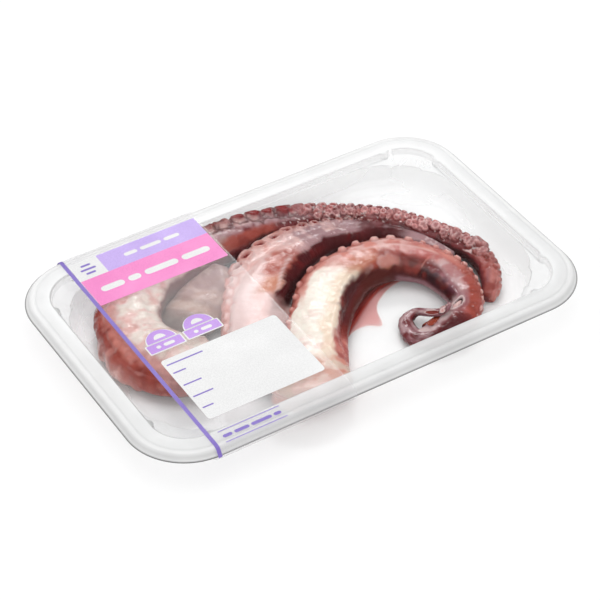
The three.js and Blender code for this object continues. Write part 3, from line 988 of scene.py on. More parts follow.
def make_front_arm():
    arm = Sweep(ARM_FRONT, step=0.6, fine=66, coarse=64, seed=3, pitch=FRONT_PITCH)
    near_base = smoothstep(18, 45, arm.s) * smoothstep(122, 98, arm.s)
    arm.push(near_base * (1.3 * hump(arm.level, 118, 9) - 3.0 * hump(arm.level, 152, 22)))
    flank = ribs(arm, 156, 192, 20, 84, height=0.14, pitch=1.1, seed=51)
    fold = length_line(arm, 112, 128, 186, 5)
    arm.push(-0.35 * fold)
    ledge = smoothstep(105, 140, arm.level) * smoothstep(215, 190, arm.level)
    arm.push(3.0 * ledge * hump(arm.s, 208, 7))
    slot = lens(arm, SLOT_AT, 7.4, 139, 27)
    upper_slot = lens(arm, 248.5, 5.0, 128, 40)
    arm.push(1.3 * np.sqrt(slot) - 1.3 * smoothstep(0.2, 0.6, slot))
    arm.push(-0.6 * smoothstep(0.2, 0.7, upper_slot))
    rim, hole, island = ring_sucker(arm)
    last = arm.total - 5.5
    arm.suckers.append([last, 76.0, 1.25, 1.0])
    style = (
        (0, 1.0, 0.36, 0.1), (90, 1.0, 0.4, 0.1), (112, 1.1, 0.5, 0.1), (150, 1.0, 0.58, 0.2),
        (172, 0.9, 0.58, 0.2), (188, 0.2, 0.5, 0.2), (240, 0.2, 0.5, 0.2), (last - 3.5, 0.2, 0.6, 0.3),
        (last, 0.5, 1.0, 0.9), (arm.total, 0.1, 0.5, 0.3),
    )
    hollow, lip, cap, moat, _ = shape_arm(arm, style, seed=21, brim=0.0, lumps=0.6, wrinkle=0.18)
    paint = Paint(arm, BRICK, seed=31)
    paint_front_base(paint)
    paint_front_bend(paint)
    paint_front_tip(paint)
    paint.specking(PALE, 140, 190, 60, 120, 0.45, 0.6)
    paint.specking(PALE, 214, 320, 60, 120, 0.4, 0.6)
    # Painted shade in the troughs of the flank's ribs and along the fold.
    paint.blend(WINE, np.clip(-flank, 0, 1) * 0.35)
    paint.blend(WINE, fold * 0.25 * smoothstep(170, 140, arm.s))
    paint.blend(LILAC_AND_SHEEN, smoothstep(0.01, 0.08, slot) * 0.9)
    paint.blend(WINE, smoothstep(0.12, 0.2, slot))
    paint.blend(EMBER, smoothstep(0.2, 0.32, slot))
    paint.blend(PALE, smoothstep(0.02, 0.15, upper_slot) * 0.8)
    paint.blend(RUST, smoothstep(0.25, 0.4, upper_slot))
    # Painted shade in the ditches round the suckers.
    paint.blend(RUST, moat * 0.6 * smoothstep(40, 90, arm.s))
    cap_share = (0.35 + 0.35 * smoothstep(90, 120, arm.s)) * smoothstep(200, 180, arm.s)
    paint.blend(BLUSH, cap * cap_share)
    # Hollows darker, partly their own colour and partly painted shade.
    paint.blend(ROSE, hollow * 0.3)
    paint.blend(PALE, rim * 0.75)
    paint.blend(LILAC_AND_SHEEN, island * 0.5)
    paint.blend(BLUSH, island * 0.7)
    # Painted shade: the upper part of the ring sucker's hole darkened to near-black.
    upper = smoothstep(2.0, -1.5, arm.s - RING_AT - 0.1 * (arm.level - RING_LEVEL))
    paint.blend(MAUVE_AND_SHEEN, hole * 0.8)
    paint.blend(DEEP_WINE_AND_SHADE, hole * upper)
    # At the tip: painted shade in the ditches and hollows, and pale lips, partly a painted highlight on
    # the raised rims.
    end = smoothstep(last - 3.5, last - 2, arm.s)
    paint.blend(WINE, moat * end)
    paint.blend(BLUSH, cap * end * 0.8)
    paint.blend(PALE, lip * end * 0.8)
    paint.blend(ROSE, hollow * end * 0.5)
    shaded = smoothstep(126, 150, arm.level) * smoothstep(184, 172, arm.s)
    wet = (0.62 + 0.35 * noise(arm.points / 7)) * (1 - 0.88 * shaded)
    arm.piece("arm_front_flesh", FLESH, "octopus_flesh", "arm_front", paint.colour, wet)


def paint_middle_arm(paint):
    """Blush back, dark comb of ribs and inner wall, and a wine-red far half; the wall is partly painted
    shade.
    """
    paint.patch(BLUSH, -30, 108, -90, 112, 1.0, 9, 6)
    paint.patch(PALE, -20, 84, 26, 88, 0.5, 10, 12)
    paint.marbling(SALMON, 74, 118, 20, 74, 0.85, -0.05)
    paint.patch(SALMON, -10, 80, -90, 34, 0.75, 9, 8)
    paint.marbling(ROSE, -10, 80, -60, 30, 0.5)
    paint.patch(TAN, 74, 96, 84, 114, 1.0, 4, 6)
    paint.patch(ROSE, 73, 99, 80, 114, 0.65, 5, 6)
    paint.marbling(BRICK, 75, 97, 90, 114, 0.85, 0.15)
    paint.patch(TAN, 56, 72, 88, 112, 0.9, 4, 6)
    paint.patch(LILAC_AND_SHEEN, 98, 152, 62, 116, 0.85, 8, 7)
    paint.marbling(BLUSH, 90, 128, 60, 100, 0.7, 0.1)
    paint.patch(WINE, 76, 150, 111, 136, 0.97, 5, 4)
    paint.marbling(CRIMSON, 76, 150, 110, 134, 0.55, 0.1)
    # Painted shade: the inner wall and underside near-black.
    paint.patch(DEEP_WINE_AND_SHADE, 50, 160, 134, 250, 1.0, 7, 6)
    paint.patch(BLUSH, 0, 52, 104, 168, 0.6, 6, 8)
    paint.patch(WINE, 100, 150, 128, 150, 0.5, 8, 8)
    paint.patch(MAROON, 144, 215, -60, 140, 0.95, 7, 10)
    paint.marbling(WINE, 142, 172, 60, 150, 0.95, 0.3)
    paint.patch(WINE, 148, 172, 96, 150, 0.95, 5, 6)
    paint.marbling(DEEP_WINE_AND_SHADE, 150, 172, 104, 150, 0.7, 0.1)
    paint.marbling(LILAC_AND_SHEEN, 140, 164, 70, 98, 0.5, -0.2)
    # Painted sheen: a lilac strip along the far half's top.
    paint.patch(LILAC_AND_SHEEN, 166, 215, 84, 122, 0.9, 6, 7)
    paint.marbling(CRIMSON, 104, 146, 40, 66, 0.55, -0.1)
    paint.marbling(DEEP_WINE_AND_SHADE, 116, 150, 44, 62, 0.7, -0.15)
    paint.specking(PALE, 92, 140, 46, 110, 0.7, 0.5)
    paint.specking(PALE, 170, 205, 46, 110, 0.6, 0.5)
    paint.patch(BRICK, 75, 98, 90, 113, 0.45, 5, 6)
    paint.specking(WHITISH, 70, 92, 84, 106, 0.5, 0.5)


def make_middle_arm():
    arm = Sweep(ARM_MIDDLE, step=0.6, fine=66, coarse=66, seed=5, pitch=MIDDLE_PITCH)
    slope = smoothstep(30, 55, arm.s) * smoothstep(190, 150, arm.s) * np.minimum(arm.half / 16, 1)
    arm.push(-3.4 * hump(arm.level, 146, 26) * slope)
    comb = ribs(arm, 70, 144, 112, 138, height=0.35, pitch=1.2, seed=41)
    style = (
        (0, 0.36, 0.95, 0.1), (60, 0.34, 0.95, 0.3), (78, 0.3, 0.9, 2.0), (110, 0.26, 0.86, 2.6),
        (140, 0.35, 0.6, 1.0), (200, 0.7, 0.62, 0.6),
    )
    hollow, lip, cap, moat, _ = shape_arm(arm, style, seed=22, brim=0.3)
    paint = Paint(arm, WINE, seed=32)
    paint_middle_arm(paint)
    # Painted shade in the troughs of the comb's ribs.
    paint.blend(WINE, np.clip(-comb, 0, 1) * 1.4)
    paint.blend(PALE, length_line(arm, 107, 62, 92, 2.5) * 0.7)
    # Painted shade in the ditches round the suckers and darker hollows, partly their own colour; lips
    # paler, partly a painted highlight.
    late = smoothstep(66, 84, arm.s)
    paint.blend(SALMON, moat * (1 - late) * 0.8)
    paint.blend(BRICK, cap * late * 0.85)
    paint.blend(BLUSH, lip * (0.25 + 0.3 * late))
    paint.blend(CRIMSON, hollow * late * 2.0)
    shaded = smoothstep(98, 110, arm.level) * smoothstep(178, 168, arm.s)
    wet = (0.7 + 0.3 * noise(arm.points / 6)) * (1 - 0.85 * shaded)
    arm.piece("arm_middle_flesh", FLESH, "octopus_flesh", "arm_middle", paint.colour, wet)


def paint_back_base(paint):
    """The back arm's red and cream coil and its pale stretch beside the sleeve, with painted shade on the
    coil's inner lower side.
    """
    paint.patch(BRICK, -20, 100, -90, 60, 0.9, 9, 12)
    paint.patch(SALMON, 8, 80, 46, 76, 0.7, 9, 9)
    paint.patch(CREAM, -10, 134, 74, 150, 0.85, 9, 9)
    paint.marbling(BLUSH, 0, 134, 66, 150, 0.7)
    paint.marbling(SALMON, 20, 110, 66, 140, 0.55, -0.15)
    paint.marbling(RUST, -10, 90, -60, 44, 0.85, 0.15)
    paint.patch(RUST, 40, 78, -60, 30, 0.7)
    paint.marbling(SALMON, -10, 90, -30, 50, 0.4, -0.25)
    # Painted shade on the coil's inner lower side.
    paint.patch(PAINTED_SHADE, 20, 90, 160, 220, 0.8, 9, 9)
    # Painted sheen along the top of the pale stretch, partly the skin's own lilac.
    paint.marbling(LILAC_AND_SHEEN, 114, 190, 52, 116, 0.95, 0.4)
    paint.marbling(BLUSH, 114, 176, 46, 96, 0.75, 0.1)
    paint.patch(BRICK, 116, 168, 114, 150, 0.9, 6, 7)
    paint.marbling(RUST, 120, 170, 122, 160, 0.7, 0.1)
    paint.patch(LILAC_AND_SHEEN, 164, 210, 92, 118, 0.8, 6, 7)
    paint.blend(WINE, length_line(paint.sweep, 120, 166, 214, 4) * 0.7)


def paint_back_far(paint):
    """The back arm's far half: dark red, with paler blotches and specks round the suckers, and painted
    shade on its inner side.
    """
    arm = paint.sweep
    paint.patch(CRIMSON, 188, 300, 34, 150, 0.45, 8, 12)
    paint.marbling(ROSE, 184, 300, 36, 130, 0.8, 0.1)
    paint.marbling(WINE, 184, 290, 112, 150, 0.8, 0.1)
    # Painted shade: the inner side and underside near-black.
    paint.patch(DEEP_WINE_AND_SHADE, 150, 300, 144, 240, 0.9, 8, 10)
    paint.patch(BRICK, 276, 340, -90, 120, 0.6, 6, 16)
    paint.marbling(MAUVE_AND_SHEEN, 276, 318, 20, 110, 0.4, 0.0)
    paint.marbling(SALMON, 286, 340, -30, 90, 0.5)
    for middle, level, size in ((221, 84, 7), (235, 76, 8), (253, 66, 9), (246, 104, 5)):
        blotch = np.hypot((arm.s + paint.drift - middle) / size, (arm.level + paint.sway - level) / 30)
        paint.blend(PETAL, smoothstep(1.0, 0.6, blotch) * 0.85)
    paint.specking(PALE, 172, 282, 40, 134, 0.9, 0.42)
    paint.specking(WHITISH, 176, 280, 50, 128, 0.9, 0.72)


def make_back_arm():
    arm = Sweep(ARM_BACK, step=0.6, fine=76, coarse=54, seed=9)
    arm.add_knobs(176, 288, 34, 62, count=60, smallest=0.9, largest=2.6, seed=61)
    arm.add_knobs(180, 290, -40, 34, count=46, smallest=0.7, largest=1.6, seed=62)
    arm.suckers += [[266.0, 30.0, 3.7, 1.0], [278.5, 2.0, 4.6, 0.9], [255.0, 26.0, 3.0, 1.0]]
    base = smoothstep(112, 84, arm.s) * smoothstep(88, 60, np.abs(arm.level - 60))
    swell = Noise(71)
    arm.push(base * (0.9 * swell(arm.points / 6) + 0.45 * swell(arm.points / 2.6 + 9)))
    edge = hump(arm.s, 36, 16) * hump(arm.level, -14, 30)
    arm.push(edge * (2.0 + 2.4 * swell(arm.points / 4.5 + 30)))
    style = (
        (0, 0.03, 0.9, 0.2), (96, 0.05, 0.9, 0.2), (122, 0.5, 1.0, 0.3), (172, 0.5, 1.0, 0.35),
        (190, 0.6, 0.86, 0.5), (285, 0.7, 0.84, 0.55), (305, 0.3, 0.7, 0.4),
    )
    marks = shape_arm(arm, style, seed=23, brim=0.35, lumps=0.5, wrinkle=0.24)
    hollow, lip, cap, moat, pale = marks
    paint = Paint(arm, MAROON, seed=33)
    paint_back_base(paint)
    paint_back_far(paint)
    far = smoothstep(172, 190, arm.s)
    near = smoothstep(100, 125, arm.s) * (1 - far)
    faded = far * smoothstep(306, 276, arm.s)
    slits = smoothstep(142, 152, arm.s)
    # Sucker colours: caps and slits are their own colour; the ditches round them get painted shade, the
    # hollows are darker and the lips paler, partly painted shade and highlight.
    paint.blend(RUST, cap * near * (1 - slits) * 0.8)
    paint.blend(CRIMSON, hollow * near * (1 - slits) * 0.9)
    paint.blend(SCARLET, cap * near * slits * 0.98)
    paint.blend(WINE, lip * near * slits * 0.5)
    paint.blend(WINE, moat * near * 0.8)
    paint.blend(WINE, moat * faded * 0.55)
    paint.blend(PETAL, pale * faded * 0.6)
    paint.blend(PALE, lip * pale * faded * 0.45)
    paint.blend(MAROON, hollow * faded * 0.6)
    flap = hump(arm.s, 38, 11) * hump(arm.level, -14, 26)
    paint.blend(BLUSH, np.clip(flap * 1.3 * (0.75 + 0.5 * paint.marble), 0, 0.9))
    wet = (0.7 + 0.3 * noise(arm.points / 6)) * (1 - 0.75 * cap * (1 - far))
    arm.piece("arm_back_skin", SKIN, "octopus_skin", "arm_back", paint.colour, wet)


def make_web():
    web = Sweep(SKIN_WEB, step=0.8, fine=40, coarse=40, seed=11)
    ripple = Noise(24)
    web.push(0.5 * ripple(web.points / 8) + 0.15 * ripple(web.points / 2.5))
    web.points = keep_in_basin(web.points)
    paint = Paint(web, SLATE, seed=34)
    # Painted shadow on the web's near end, under the back arm's flap.
    paint.patch(PAINTED_SHADE, -10, 12, -90, 270, 0.9)
    paint.patch(LILAC_AND_SHEEN, 30, 60, -90, 270, 0.4)
    paint.marbling(SAND, 12, 60, 20, 200, 0.45, 0.0)
    wet = np.full_like(web.s, 0.7)
    web.piece("web_skin", SKIN, "octopus_skin", "skin_web", paint.colour, wet)


# Rows of (x, y) under the arm, on the red ridge and at the outer edge of the run-out juice.
JUICE = [
    (61.5, 1.4, 57.1, -6.1, 56.6, -7.7),
    (53.6, 4.5, 50.7, -5.4, 49.8, -8.5),
    (45.8, 7.6, 44, -6.2, 43.5, -10.6),
    (37.9, 6, 38.1, -8.5, 35.5, -15.6),
    (30.1, 0.7, 31.6, -11.8, 31.3, -21.1),
    (22.8, -5.8, 24.4, -16.3, 27.3, -31.1),
    (16.5, -12.7, 18.5, -20.3, 20.7, -27.4),
    (10.3, -19.5, 13.3, -24.1, 12.9, -27.4),
    (3.7, -26.9, 6.7, -29.7, 6.7, -30.5),
]


JUICE_ROWS = 90
JUICE_RISE = 0.14
RIDGE_REACH = 2.0


def make_juice():
    """Thin pink cooking juice run out from the front arm, with a thick red ridge beside it."""
    rows = catmull(JUICE, np.linspace(0, 1, JUICE_ROWS), True)
    under, ridge, outer = rows[:, :2], rows[:, 2:4], rows[:, 4:]
    ends = np.sqrt(np.sin(np.linspace(0.02, math.pi - 0.02, JUICE_ROWS)))
    ridge_inside, ridge_outside = (SCARLET * (1 - warm) + FIERY * warm for warm in (0.25, 0.5))
    verts, tones, shares = [], [], []
    # A share of 0 lies under the arm, 1 on the ridge and 2 at the outer edge.
    for share in np.r_[np.linspace(0, 0.8, 7), np.linspace(0.84, 1.4, 15), np.linspace(1.5, 2, 7)]:
        if share <= 1:
            place = under + (ridge - under) * share
        else:
            place = ridge + (outer - ridge) * (share - 1)
        up_the_arm = 8.0 * max(0.92 - share, 0)
        thin_edge = 2.2 * max(share - 1.9, 0)
        rise = 0.24 + 0.7 * hump(share, 1, 0.1) + up_the_arm - thin_edge
        verts.append(np.c_[place, FLOOR_Z + JUICE_RISE + rise * ends])
        # Under the arm the juice is dark brown, painted shade; beyond the ridge it is pale pink.
        base, ridge_tone = (DARK_BROWN_AND_SHADE, ridge_inside) if share < 1 else (PETAL, ridge_outside)
        near = np.linalg.norm(place - ridge, axis=1)[:, None]
        red = np.exp(-((near / RIDGE_REACH) ** 4))
        edge = smoothstep(1.8, 2.0, share)
        tone = base * (1 - red) + ridge_tone * red
        tones.append(tone * (1 - 0.4 * edge) + WHITISH * 0.4 * edge)
        thick = 0.98 if share <= 1 else 0.8 - 0.3 * edge
        shares.append(np.maximum(thick, 0.98 * red[:, 0]))
    juice = add_mesh("juice_patch", np.concatenate(verts), grid_faces(len(verts), JUICE_ROWS, False))
    write_tone(juice, np.concatenate(tones), np.concatenate(shares))
    dress(juice, juice_material(), shadow=False)


def make_gap_shade():
    """A dark sheet on the floor in the gap between the front and the middle arm: painted shadow."""
    arm = Sweep(ARM_FRONT, step=4.0, fine=8, coarse=8, seed=3)
    rows = np.flatnonzero((arm.s[:, 0] > 36) & (arm.s[:, 0] < 142))
    taper = np.sqrt(np.sin(np.linspace(0.05, math.pi - 0.05, len(rows))))
    verts = []
    for offset, z in ((-5, 0.12), (-4.6, 0.32), (1, 0.36), (6.6, 0.32), (7, 0.12)):
        reach = (arm.half[rows, 0] + offset * taper)[:, None]
        place = arm.centre[rows, :2] + arm.outward[rows, :2] * reach
        verts.append(np.c_[place, np.full(len(rows), FLOOR_Z + z)])
    dark_sheet = add_mesh("painted_gap_shadow", np.concatenate(verts), grid_faces(len(verts), len(rows), False))
    dress(dark_sheet, shadow_sheet_material())


make_front_arm()
make_middle_arm()
make_back_arm()
make_web()
make_juice()
make_gap_shade()

# ---- tray, film and sleeve ------------------------------------------------------------------


ARC_STEPS = 22
SIDE_STEPS = 28
# Distances from the end of a straight at which its first points lie, close together.
END_STEPS = (0.7, 1.4, 2.1, 2.8, 3.5, 4.2, 5.0)
FLOOR_GREY, FLOOR_HAZE = 0.9, 0.32


def straight_shares(length):
    """Where points lie along a straight: close together near both ends, even between."""
    ends = np.array(END_STEPS) / length
    even = np.linspace(ends[-1], 1 - ends[-1], SIDE_STEPS - 13)[1:-1]
    return np.r_[ends, even, 1 - ends[::-1]]


def rounded_loop(inset, z, radius):
    """Counter-clockwise loop of a rounded rectangle with points along its straights too."""
    half_x, half_y = RIM_LENGTH / 2 - inset - radius, RIM_WIDTH / 2 - inset - radius
    arcs = []
    for corner, (sx, sy) in enumerate(((1, 1), (-1, 1), (-1, -1), (1, -1))):
        a = (corner + np.arange(ARC_STEPS + 1) / ARC_STEPS) * math.pi / 2
        arcs.append(np.c_[sx * half_x + radius * np.cos(a), sy * half_y + radius * np.sin(a)])
    loop = []
    for arc, following in zip(arcs, arcs[1:] + arcs[:1]):
        straight = following[0] - arc[-1]
        shares = straight_shares(np.linalg.norm(straight))
        loop += [arc, arc[-1] + straight * shares[:, None]]
    loop = np.concatenate(loop)
    return np.c_[loop, np.full(len(loop), z)]


def shrunken(loop, shares):
    """Copies of a loop, drawn in towards the middle."""
    return [loop * (share, share, 1) for share in shares]


def tray_profile():
    """The tray's upper face from the floor to the lip: (inset, depth, radius, grey, haze); grey is painted
    shading.
    """
    profile = []
    slope = DRAFT / CAVITY_DEPTH
    for k in range(11):
        a = k / 10 * math.pi / 2
        inset = RIM_LAND + DRAFT + FLOOR_FILLET * (1 - math.sin(a))
        rise = FLOOR_FILLET * (1 - math.cos(a))
        grey = 0.9 if 2 < k < 7 else 0.84
        profile.append((inset - slope * rise, CAVITY_DEPTH - rise, LOWER_RADIUS, grey, 0.3))
    for depth in (12.0, 9.0, 6.5, 5.0):
        profile.append((RIM_LAND + slope * depth, depth, LOWER_RADIUS, 0.74, 0.3))
    shelf = RIM_LAND + SHELF_DEPTH * slope
    profile += [
        (shelf + SHELF_STEP, SHELF_DEPTH + 0.25, LOWER_RADIUS, 0.6, 0.36),
        (shelf + SHELF_STEP - 0.1, SHELF_DEPTH, LOWER_RADIUS - 0.4, 0.84, 0.34),
        (shelf + 0.15, SHELF_DEPTH - 0.15, UPPER_RADIUS + 0.4, 0.84, 0.32),
        (shelf, SHELF_DEPTH - 0.45, UPPER_RADIUS, 0.66, 0.36),
        (RIM_LAND + 0.35, 1.0, UPPER_RADIUS, 0.72, 0.36),
        # A painted dark line along the basin's upper edge, where the bend refracts light.
        (RIM_LAND + 0.12, 0.35, UPPER_RADIUS, 0.4, 0.72),
        (RIM_LAND - 0.25, 0.05, UPPER_RADIUS + 0.3, 0.54, 0.74),
        (RIM_LAND - 0.6, 0.0, UPPER_RADIUS + 0.6, 0.78, 0.78),
    ]
    # The last rows' dark greys are a painted shadow line along the lip's bottom edge.
    lip = (
        (7.0, 0, 0.78, 0.78), (4.0, 0, 0.78, 0.78), (3.5, 0.12, 0.73, 0.8), (3.0, 0.3, 0.69, 0.8),
        (2.5, 0.12, 0.73, 0.8), (2.1, 0.06, 0.79, 0.78), (1.0, 0.12, 0.82, 0.78),
        (0.4, 0.4, 0.76, 0.8), (0.0, 0.9, 0.7, 0.85), (-0.5, 1.7, 0.64, 0.85),
        (-1.0, 2.6, 0.68, 0.85), (-1.3, 3.05, 0.76, 0.8), (-1.7, 3.3, 0.48, 0.88),
        (-2.1, 3.45, 0.18, 0.96), (-2.3, 3.6, 0.12, 0.98),
    )
    for inset, depth, grey, haze in lip:
        profile.append((inset, depth, RIM_RADIUS - inset, grey, haze))
    return profile


def notch_ledge(loop, depth):
    """Small steps in the basin's upper edge where each corner's ledge starts and ends."""
    reach = smoothstep(0.02, 0.3, depth) * smoothstep(SHELF_DEPTH + 2.4, SHELF_DEPTH + 0.3, depth)
    moved = loop.copy()
    for axis, other, size, across in ((0, 1, RIM_LENGTH, RIM_WIDTH), (1, 0, RIM_WIDTH, RIM_LENGTH)):
        off_corner = np.abs(loop[:, other]) - across / 2 + RIM_RADIUS + 1.6
        at_side = np.abs(loop[:, axis]) > size / 2 - RIM_RADIUS
        step = 1.7 * np.exp(-((off_corner / 1.9) ** 4)) * at_side * reach
        moved[:, axis] -= np.sign(loop[:, axis]) * step
    return moved


def make_tray():
    profile = tray_profile()
    loops = []
    for inset, depth, radius, _, _ in profile:
        loop = rounded_loop(inset, RIM_Z - depth, radius)
        loops.append(notch_ledge(loop, depth) if inset > RIM_LAND - 1 else loop)
    floor = shrunken(loops[0], (0.1, 0.35, 0.6, 0.8, 0.95))
    count = len(loops[0])
    verts = np.concatenate(floor + loops)
    faces = grid_faces(len(floor) + len(loops), count, True)
    faces.append(list(range(count))[::-1])
    tray = add_mesh("tray_shell", verts, faces)
    grey = np.repeat([FLOOR_GREY] * len(floor) + [row[3] for row in profile], count)
    haze = np.repeat([FLOOR_HAZE] * len(floor) + [row[4] for row in profile], count)
    uneven = noise(verts / 23.0)
    # Painted light on the tray: the flange paler towards the back and darker towards the front, and the
    # dark line along the basin's edge fading towards +x.
    painted_back_light = 0.05 * verts[:, 1] / (RIM_WIDTH / 2) * (haze > 0.5)
    painted_edge_shade = (grey < 0.6) & (verts[:, 2] > RIM_Z - 0.5)
    fading_edge_shade = 0.3 * painted_edge_shade * smoothstep(-90, 30, verts[:, 0])
    grey = np.clip(grey * (1 + 0.05 * uneven) + painted_back_light + fading_edge_shade, 0, 1)
    write_tone(tray, np.repeat(grey[:, None], 3, 1), np.clip(haze * (1 + 0.12 * uneven), 0, 1))
    dress(tray, TRAY_PLASTIC, shadow=False)
    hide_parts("tray")


FILM_INSET = 2.6
FILM_RISE = 0.15


def make_film():
    edge = rounded_loop(FILM_INSET, RIM_Z + FILM_RISE, RIM_RADIUS - FILM_INSET)
    rows = shrunken(edge, (0.05, 0.2, 0.4, 0.6, 0.8, 0.93, 1.0))
    faces = grid_faces(len(rows), len(edge), True)
    faces.append(list(range(len(edge)))[::-1])
    film = add_mesh("film_sheet", np.concatenate(rows), faces)
    dress(film, FILM_CLEAR, shadow=False)
    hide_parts("lid_film")


def sleeve_section(out):
    """The band's closed run in the YZ plane, out from the rim by a little."""
    top = RIM_Z + SLEEVE_RISE + out
    flank = RIM_WIDTH / 2 + out
    bottom = 0.3 - out
    right = [
        *((y, top) for y in (0, 6, 12, 18, 25, 33, 42, 54, 62, 68, flank - 6, flank - 2)),
        (flank - 0.6, top - 0.25),
        (flank + 0.6, top - 1.0),
        (flank + 1.6, RIM_Z - 2.2),
        (flank + 2.4, RIM_Z - 3.3),
        (flank + 2.3, RIM_Z - 4.3),
        (flank + 1.1, RIM_Z - 6.4),
        (66.0, 4.2),
        (64.6, 2.2),
        (62.0, 0.7),
        (58.5, bottom),
        (30.0, bottom),
    ]
    left = [(-y, z) for y, z in reversed(right[1:])]
    return np.array(right + [(0.0, bottom)] + left)


def extrude(section, columns):
    """Points of a YZ section repeated at each x."""
    return np.concatenate([np.c_[np.full(len(section), x), section] for x in columns])


def make_sleeve():
    section = sleeve_section(0.15)
    cut_end = SLEEVE_RIGHT - np.array((1.4, 0.9, 0.45, 0))
    columns = np.r_[np.linspace(SLEEVE_LEFT, SLEEVE_RIGHT - 3.3, 24), cut_end]
    verts = extrude(section, columns)
    sleeve = add_mesh("sleeve_band", verts, grid_faces(len(columns), len(section), True))
    x, y = verts[:, 0], verts[:, 1]
    over_rim = smoothstep(62, 68, np.abs(y))
    grey = 0.88 - 0.06 * over_rim
    # Painted light as extra haze: a painted sheen over the middle of the band, a painted glare near its
    # front end and a painted highlight along its cut edge.
    sheen = hump(x, -30, 12) * hump(y, 2, 22)
    glare = hump(x, -71, 15) * hump(y, -63, 6.5)
    cut_edge_highlight = smoothstep(SLEEVE_RIGHT - 1.2, SLEEVE_RIGHT - 0.5, x)
    haze = 0.115 + 0.1 * over_rim + 0.1 * sheen + 0.5 * glare + 0.09 * cut_edge_highlight
    write_tone(sleeve, np.c_[grey, grey * 0.985, grey], haze)
    dress(sleeve, SLEEVE_CLEAR, shadow=False)
    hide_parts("sleeve")


MARK_POINTS = 12
MARK_HALF_WIDTH = 0.75


def make_marks():
    """Faint plain strokes moulded on the flange at one corner."""
    verts, faces = [], []
    turns = 2 * math.pi * np.arange(MARK_POINTS) / MARK_POINTS
    for x, y, length, turn in (
        (95.2, 62.5, 8.5, 62), (97.6, 66.8, 6.5, 62), (97.6, 54.6, 8.0, 25), (104.0, 49.6, 4.6, 62),
        (105.8, 47.4, 4.6, 62), (108.0, 45.6, 4.6, 62),
    ):
        along = np.array((math.cos(math.radians(turn)), math.sin(math.radians(turn))))
        across = np.array((-along[1], along[0])) * MARK_HALF_WIDTH
        start = len(verts) * MARK_POINTS
        for size, z in ((1.0, 0.02), (0.6, 0.16)):
            ring = np.outer(np.cos(turns), along * length / 2) + np.outer(np.sin(turns), across * size)
            verts.append(np.c_[ring + (x, y), np.full(MARK_POINTS, RIM_Z + z)])
        faces += [[start + i for i in face] for face in grid_faces(2, MARK_POINTS, True)]
        faces.append(list(range(start + MARK_POINTS, start + 2 * MARK_POINTS)))
    verts = np.concatenate(verts)
    marks = add_mesh("tray_marks", verts, faces)
    write_tone(marks, np.full((len(verts), 3), 0.95), np.full(len(verts), 0.9))
    dress(marks, TRAY_PLASTIC, shadow=False)


make_tray()
make_marks()
make_film()
make_sleeve()

# ---- sleeve print ---------------------------------------------------------------------------

PRINT_Z = RIM_Z + SLEEVE_RISE + 0.22
PRINT_LEFT, PRINT_RIGHT = -94.6, -21.4
SQUARE_RIGHT = -78.7
PINK_FRONT, LAVENDER_FRONT, LAVENDER_BACK = 37.2, 58.3, 72.6
DOME_LIFT = 0.03
BAR_LIFT = 0.05
VIOLET = ink_material("ink_violet", 124, 104, 184)
PURPLE_INK = ink_material("ink_purple", 180, 138, 214)
LAVENDER = ink_material("ink_lavender", 184, 160, 222)
PINK = ink_material("ink_pink", 228, 126, 188)
WHITE = ink_material("ink_white", 218, 218, 218)


def rounded_rect(x0, x1, y0, y1, radius, steps=6):
    loop = []
    for cx, cy, start in (
        (x1 - radius, y1 - radius, 0), (x0 + radius, y1 - radius, 90),
        (x0 + radius, y0 + radius, 180), (x1 - radius, y0 + radius, 270),
    ):
        for k in range(steps + 1):
            a = math.radians(start + 90 * k / steps)
            loop.append((cx + radius * math.cos(a), cy + radius * math.sin(a)))
    return loop


def dome(cx, y0, radius, steps=24):
    """A half disc that stands on y0."""
    return [
        (cx + radius * math.cos(math.pi * k / steps), y0 + radius * math.sin(math.pi * k / steps))
        for k in range(steps + 1)
    ]


def bars(cx, y, widths, height, gap):
    """A row of short rounded bars centred on cx."""
    x = cx - (sum(widths) + gap * (len(widths) - 1)) / 2
    made = []
    for width in widths:
        made.append(rounded_rect(x, x + width, y - height / 2, y + height / 2, height / 2.01, 4))
        x += width + gap
    return made


def add_print(name, outlines, material, lift=0.0):
    """Flat outlines filled with one ink, a little above the band."""
    verts, faces = [], []
    for outline in outlines:
        faces.append(list(range(len(verts), len(verts) + len(outline))))
        verts += [(x, y, PRINT_Z + lift) for x, y in outline]
    ink = add_mesh(name, verts, faces, smooth=False)
    dress(ink, material, shadow=False)


def add_stripe():
    """The violet stripe along the band's edge, over the top and down to the lip at both ends."""
    whole = sleeve_section(0.2)
    right = [point for point in whole if point[0] >= 0 and point[1] > RIM_Z - 5]
    left = [(-y, z) for y, z in right[1:]]
    section = np.array(left[::-1] + right)
    columns = np.linspace(SLEEVE_LEFT + 0.1, SLEEVE_LEFT + 2.2, 3)
    faces = grid_faces(len(columns), len(section), False)
    stripe = add_mesh("print_stripe", extrude(section, columns), faces)
    dress(stripe, VIOLET, shadow=False)


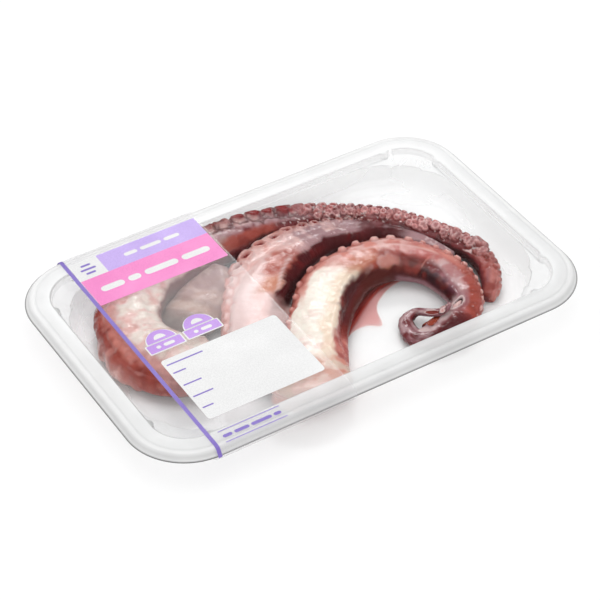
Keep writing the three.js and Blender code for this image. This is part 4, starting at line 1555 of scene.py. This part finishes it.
def add_fields():
    """The fields of colour along the back edge and the white panel at the front."""
    lavender = rounded_rect(SQUARE_RIGHT, PRINT_RIGHT, LAVENDER_FRONT, LAVENDER_BACK, 0.2)
    pink = rounded_rect(PRINT_LEFT, PRINT_RIGHT, PINK_FRONT, LAVENDER_FRONT, 0.2)
    square = rounded_rect(PRINT_LEFT, SQUARE_RIGHT, LAVENDER_FRONT, LAVENDER_BACK, 0.2)
    add_print("print_lavender_bar", [lavender], LAVENDER)
    add_print("print_pink_bar", [pink], PINK)
    add_print("print_white_square", [square], WHITE)
    add_print("print_panel", [rounded_rect(-90.0, -25.2, -60.6, -13.8, 2.0)], WHITE)


# Each dome's middle and foot, and the feet of its small dome and its bars.
DOMES = ((-81.4, -0.9, 1.0, -4.4), (-60.4, -0.6, 1.2, -4.2))


def add_domes():
    """Two plain domes over a bar, edged in white."""
    places = [(cx, foot) for cx, foot, _, _ in DOMES]
    edges = [dome(cx, foot - 0.5, 8.4) for cx, foot in places]
    edges += [rounded_rect(cx - 10, cx + 10, foot - 7.2, foot - 0.2, 0.6) for cx, foot in places]
    add_print("print_dome_edges", edges, WHITE)
    fills = [dome(cx, foot + 0.2, 7.6) for cx, foot in places]
    fills += [rounded_rect(cx - 9.3, cx + 9.3, foot - 6.5, foot - 0.6, 0.4) for cx, foot in places]
    add_print("print_domes", fills, PURPLE_INK, DOME_LIFT)


def add_bars():
    """Plain bars and lines where the pack has its words."""
    white = bars(-50, 65.4, (7.5, 12, 9), 2.6, 1.8) + bars(-57.5, 47.6, (13, 7, 19, 16), 4.2, 2.4)
    white += [dome(cx, foot, 3.2) for cx, _, foot, _ in DOMES]
    for cx, _, _, y in DOMES:
        white += bars(cx, y, (2.4, 6.0), 2.2, 1.6)
    add_print("print_bars_white", white, WHITE, BAR_LIFT)
    violet = [
        rounded_rect(-88.6, -88.6 + width, y - 0.45, y + 0.45, 0.4, 3)
        for y, width in ((-18, 20), (-24.4, 7), (-34.2, 10), (-43.4, 11), (-52.2, 6))
    ]
    violet += [rounded_rect(-91, -57.5, y, y + 0.5, 0.2, 2) for y in (-70.2, -77.9)]
    violet += bars(-74.5, -73.8, (5, 8, 11, 4), 2.0, 1.2)
    for y, width in ((65.4, 8.6), (68.6, 5.4), (62.2, 5.4)):
        violet += bars(-86.6, y, (width,), 1.4, 1)
    add_print("print_violet_lines", violet, VIOLET, BAR_LIFT)


add_stripe()
add_fields()
add_domes()
add_bars()
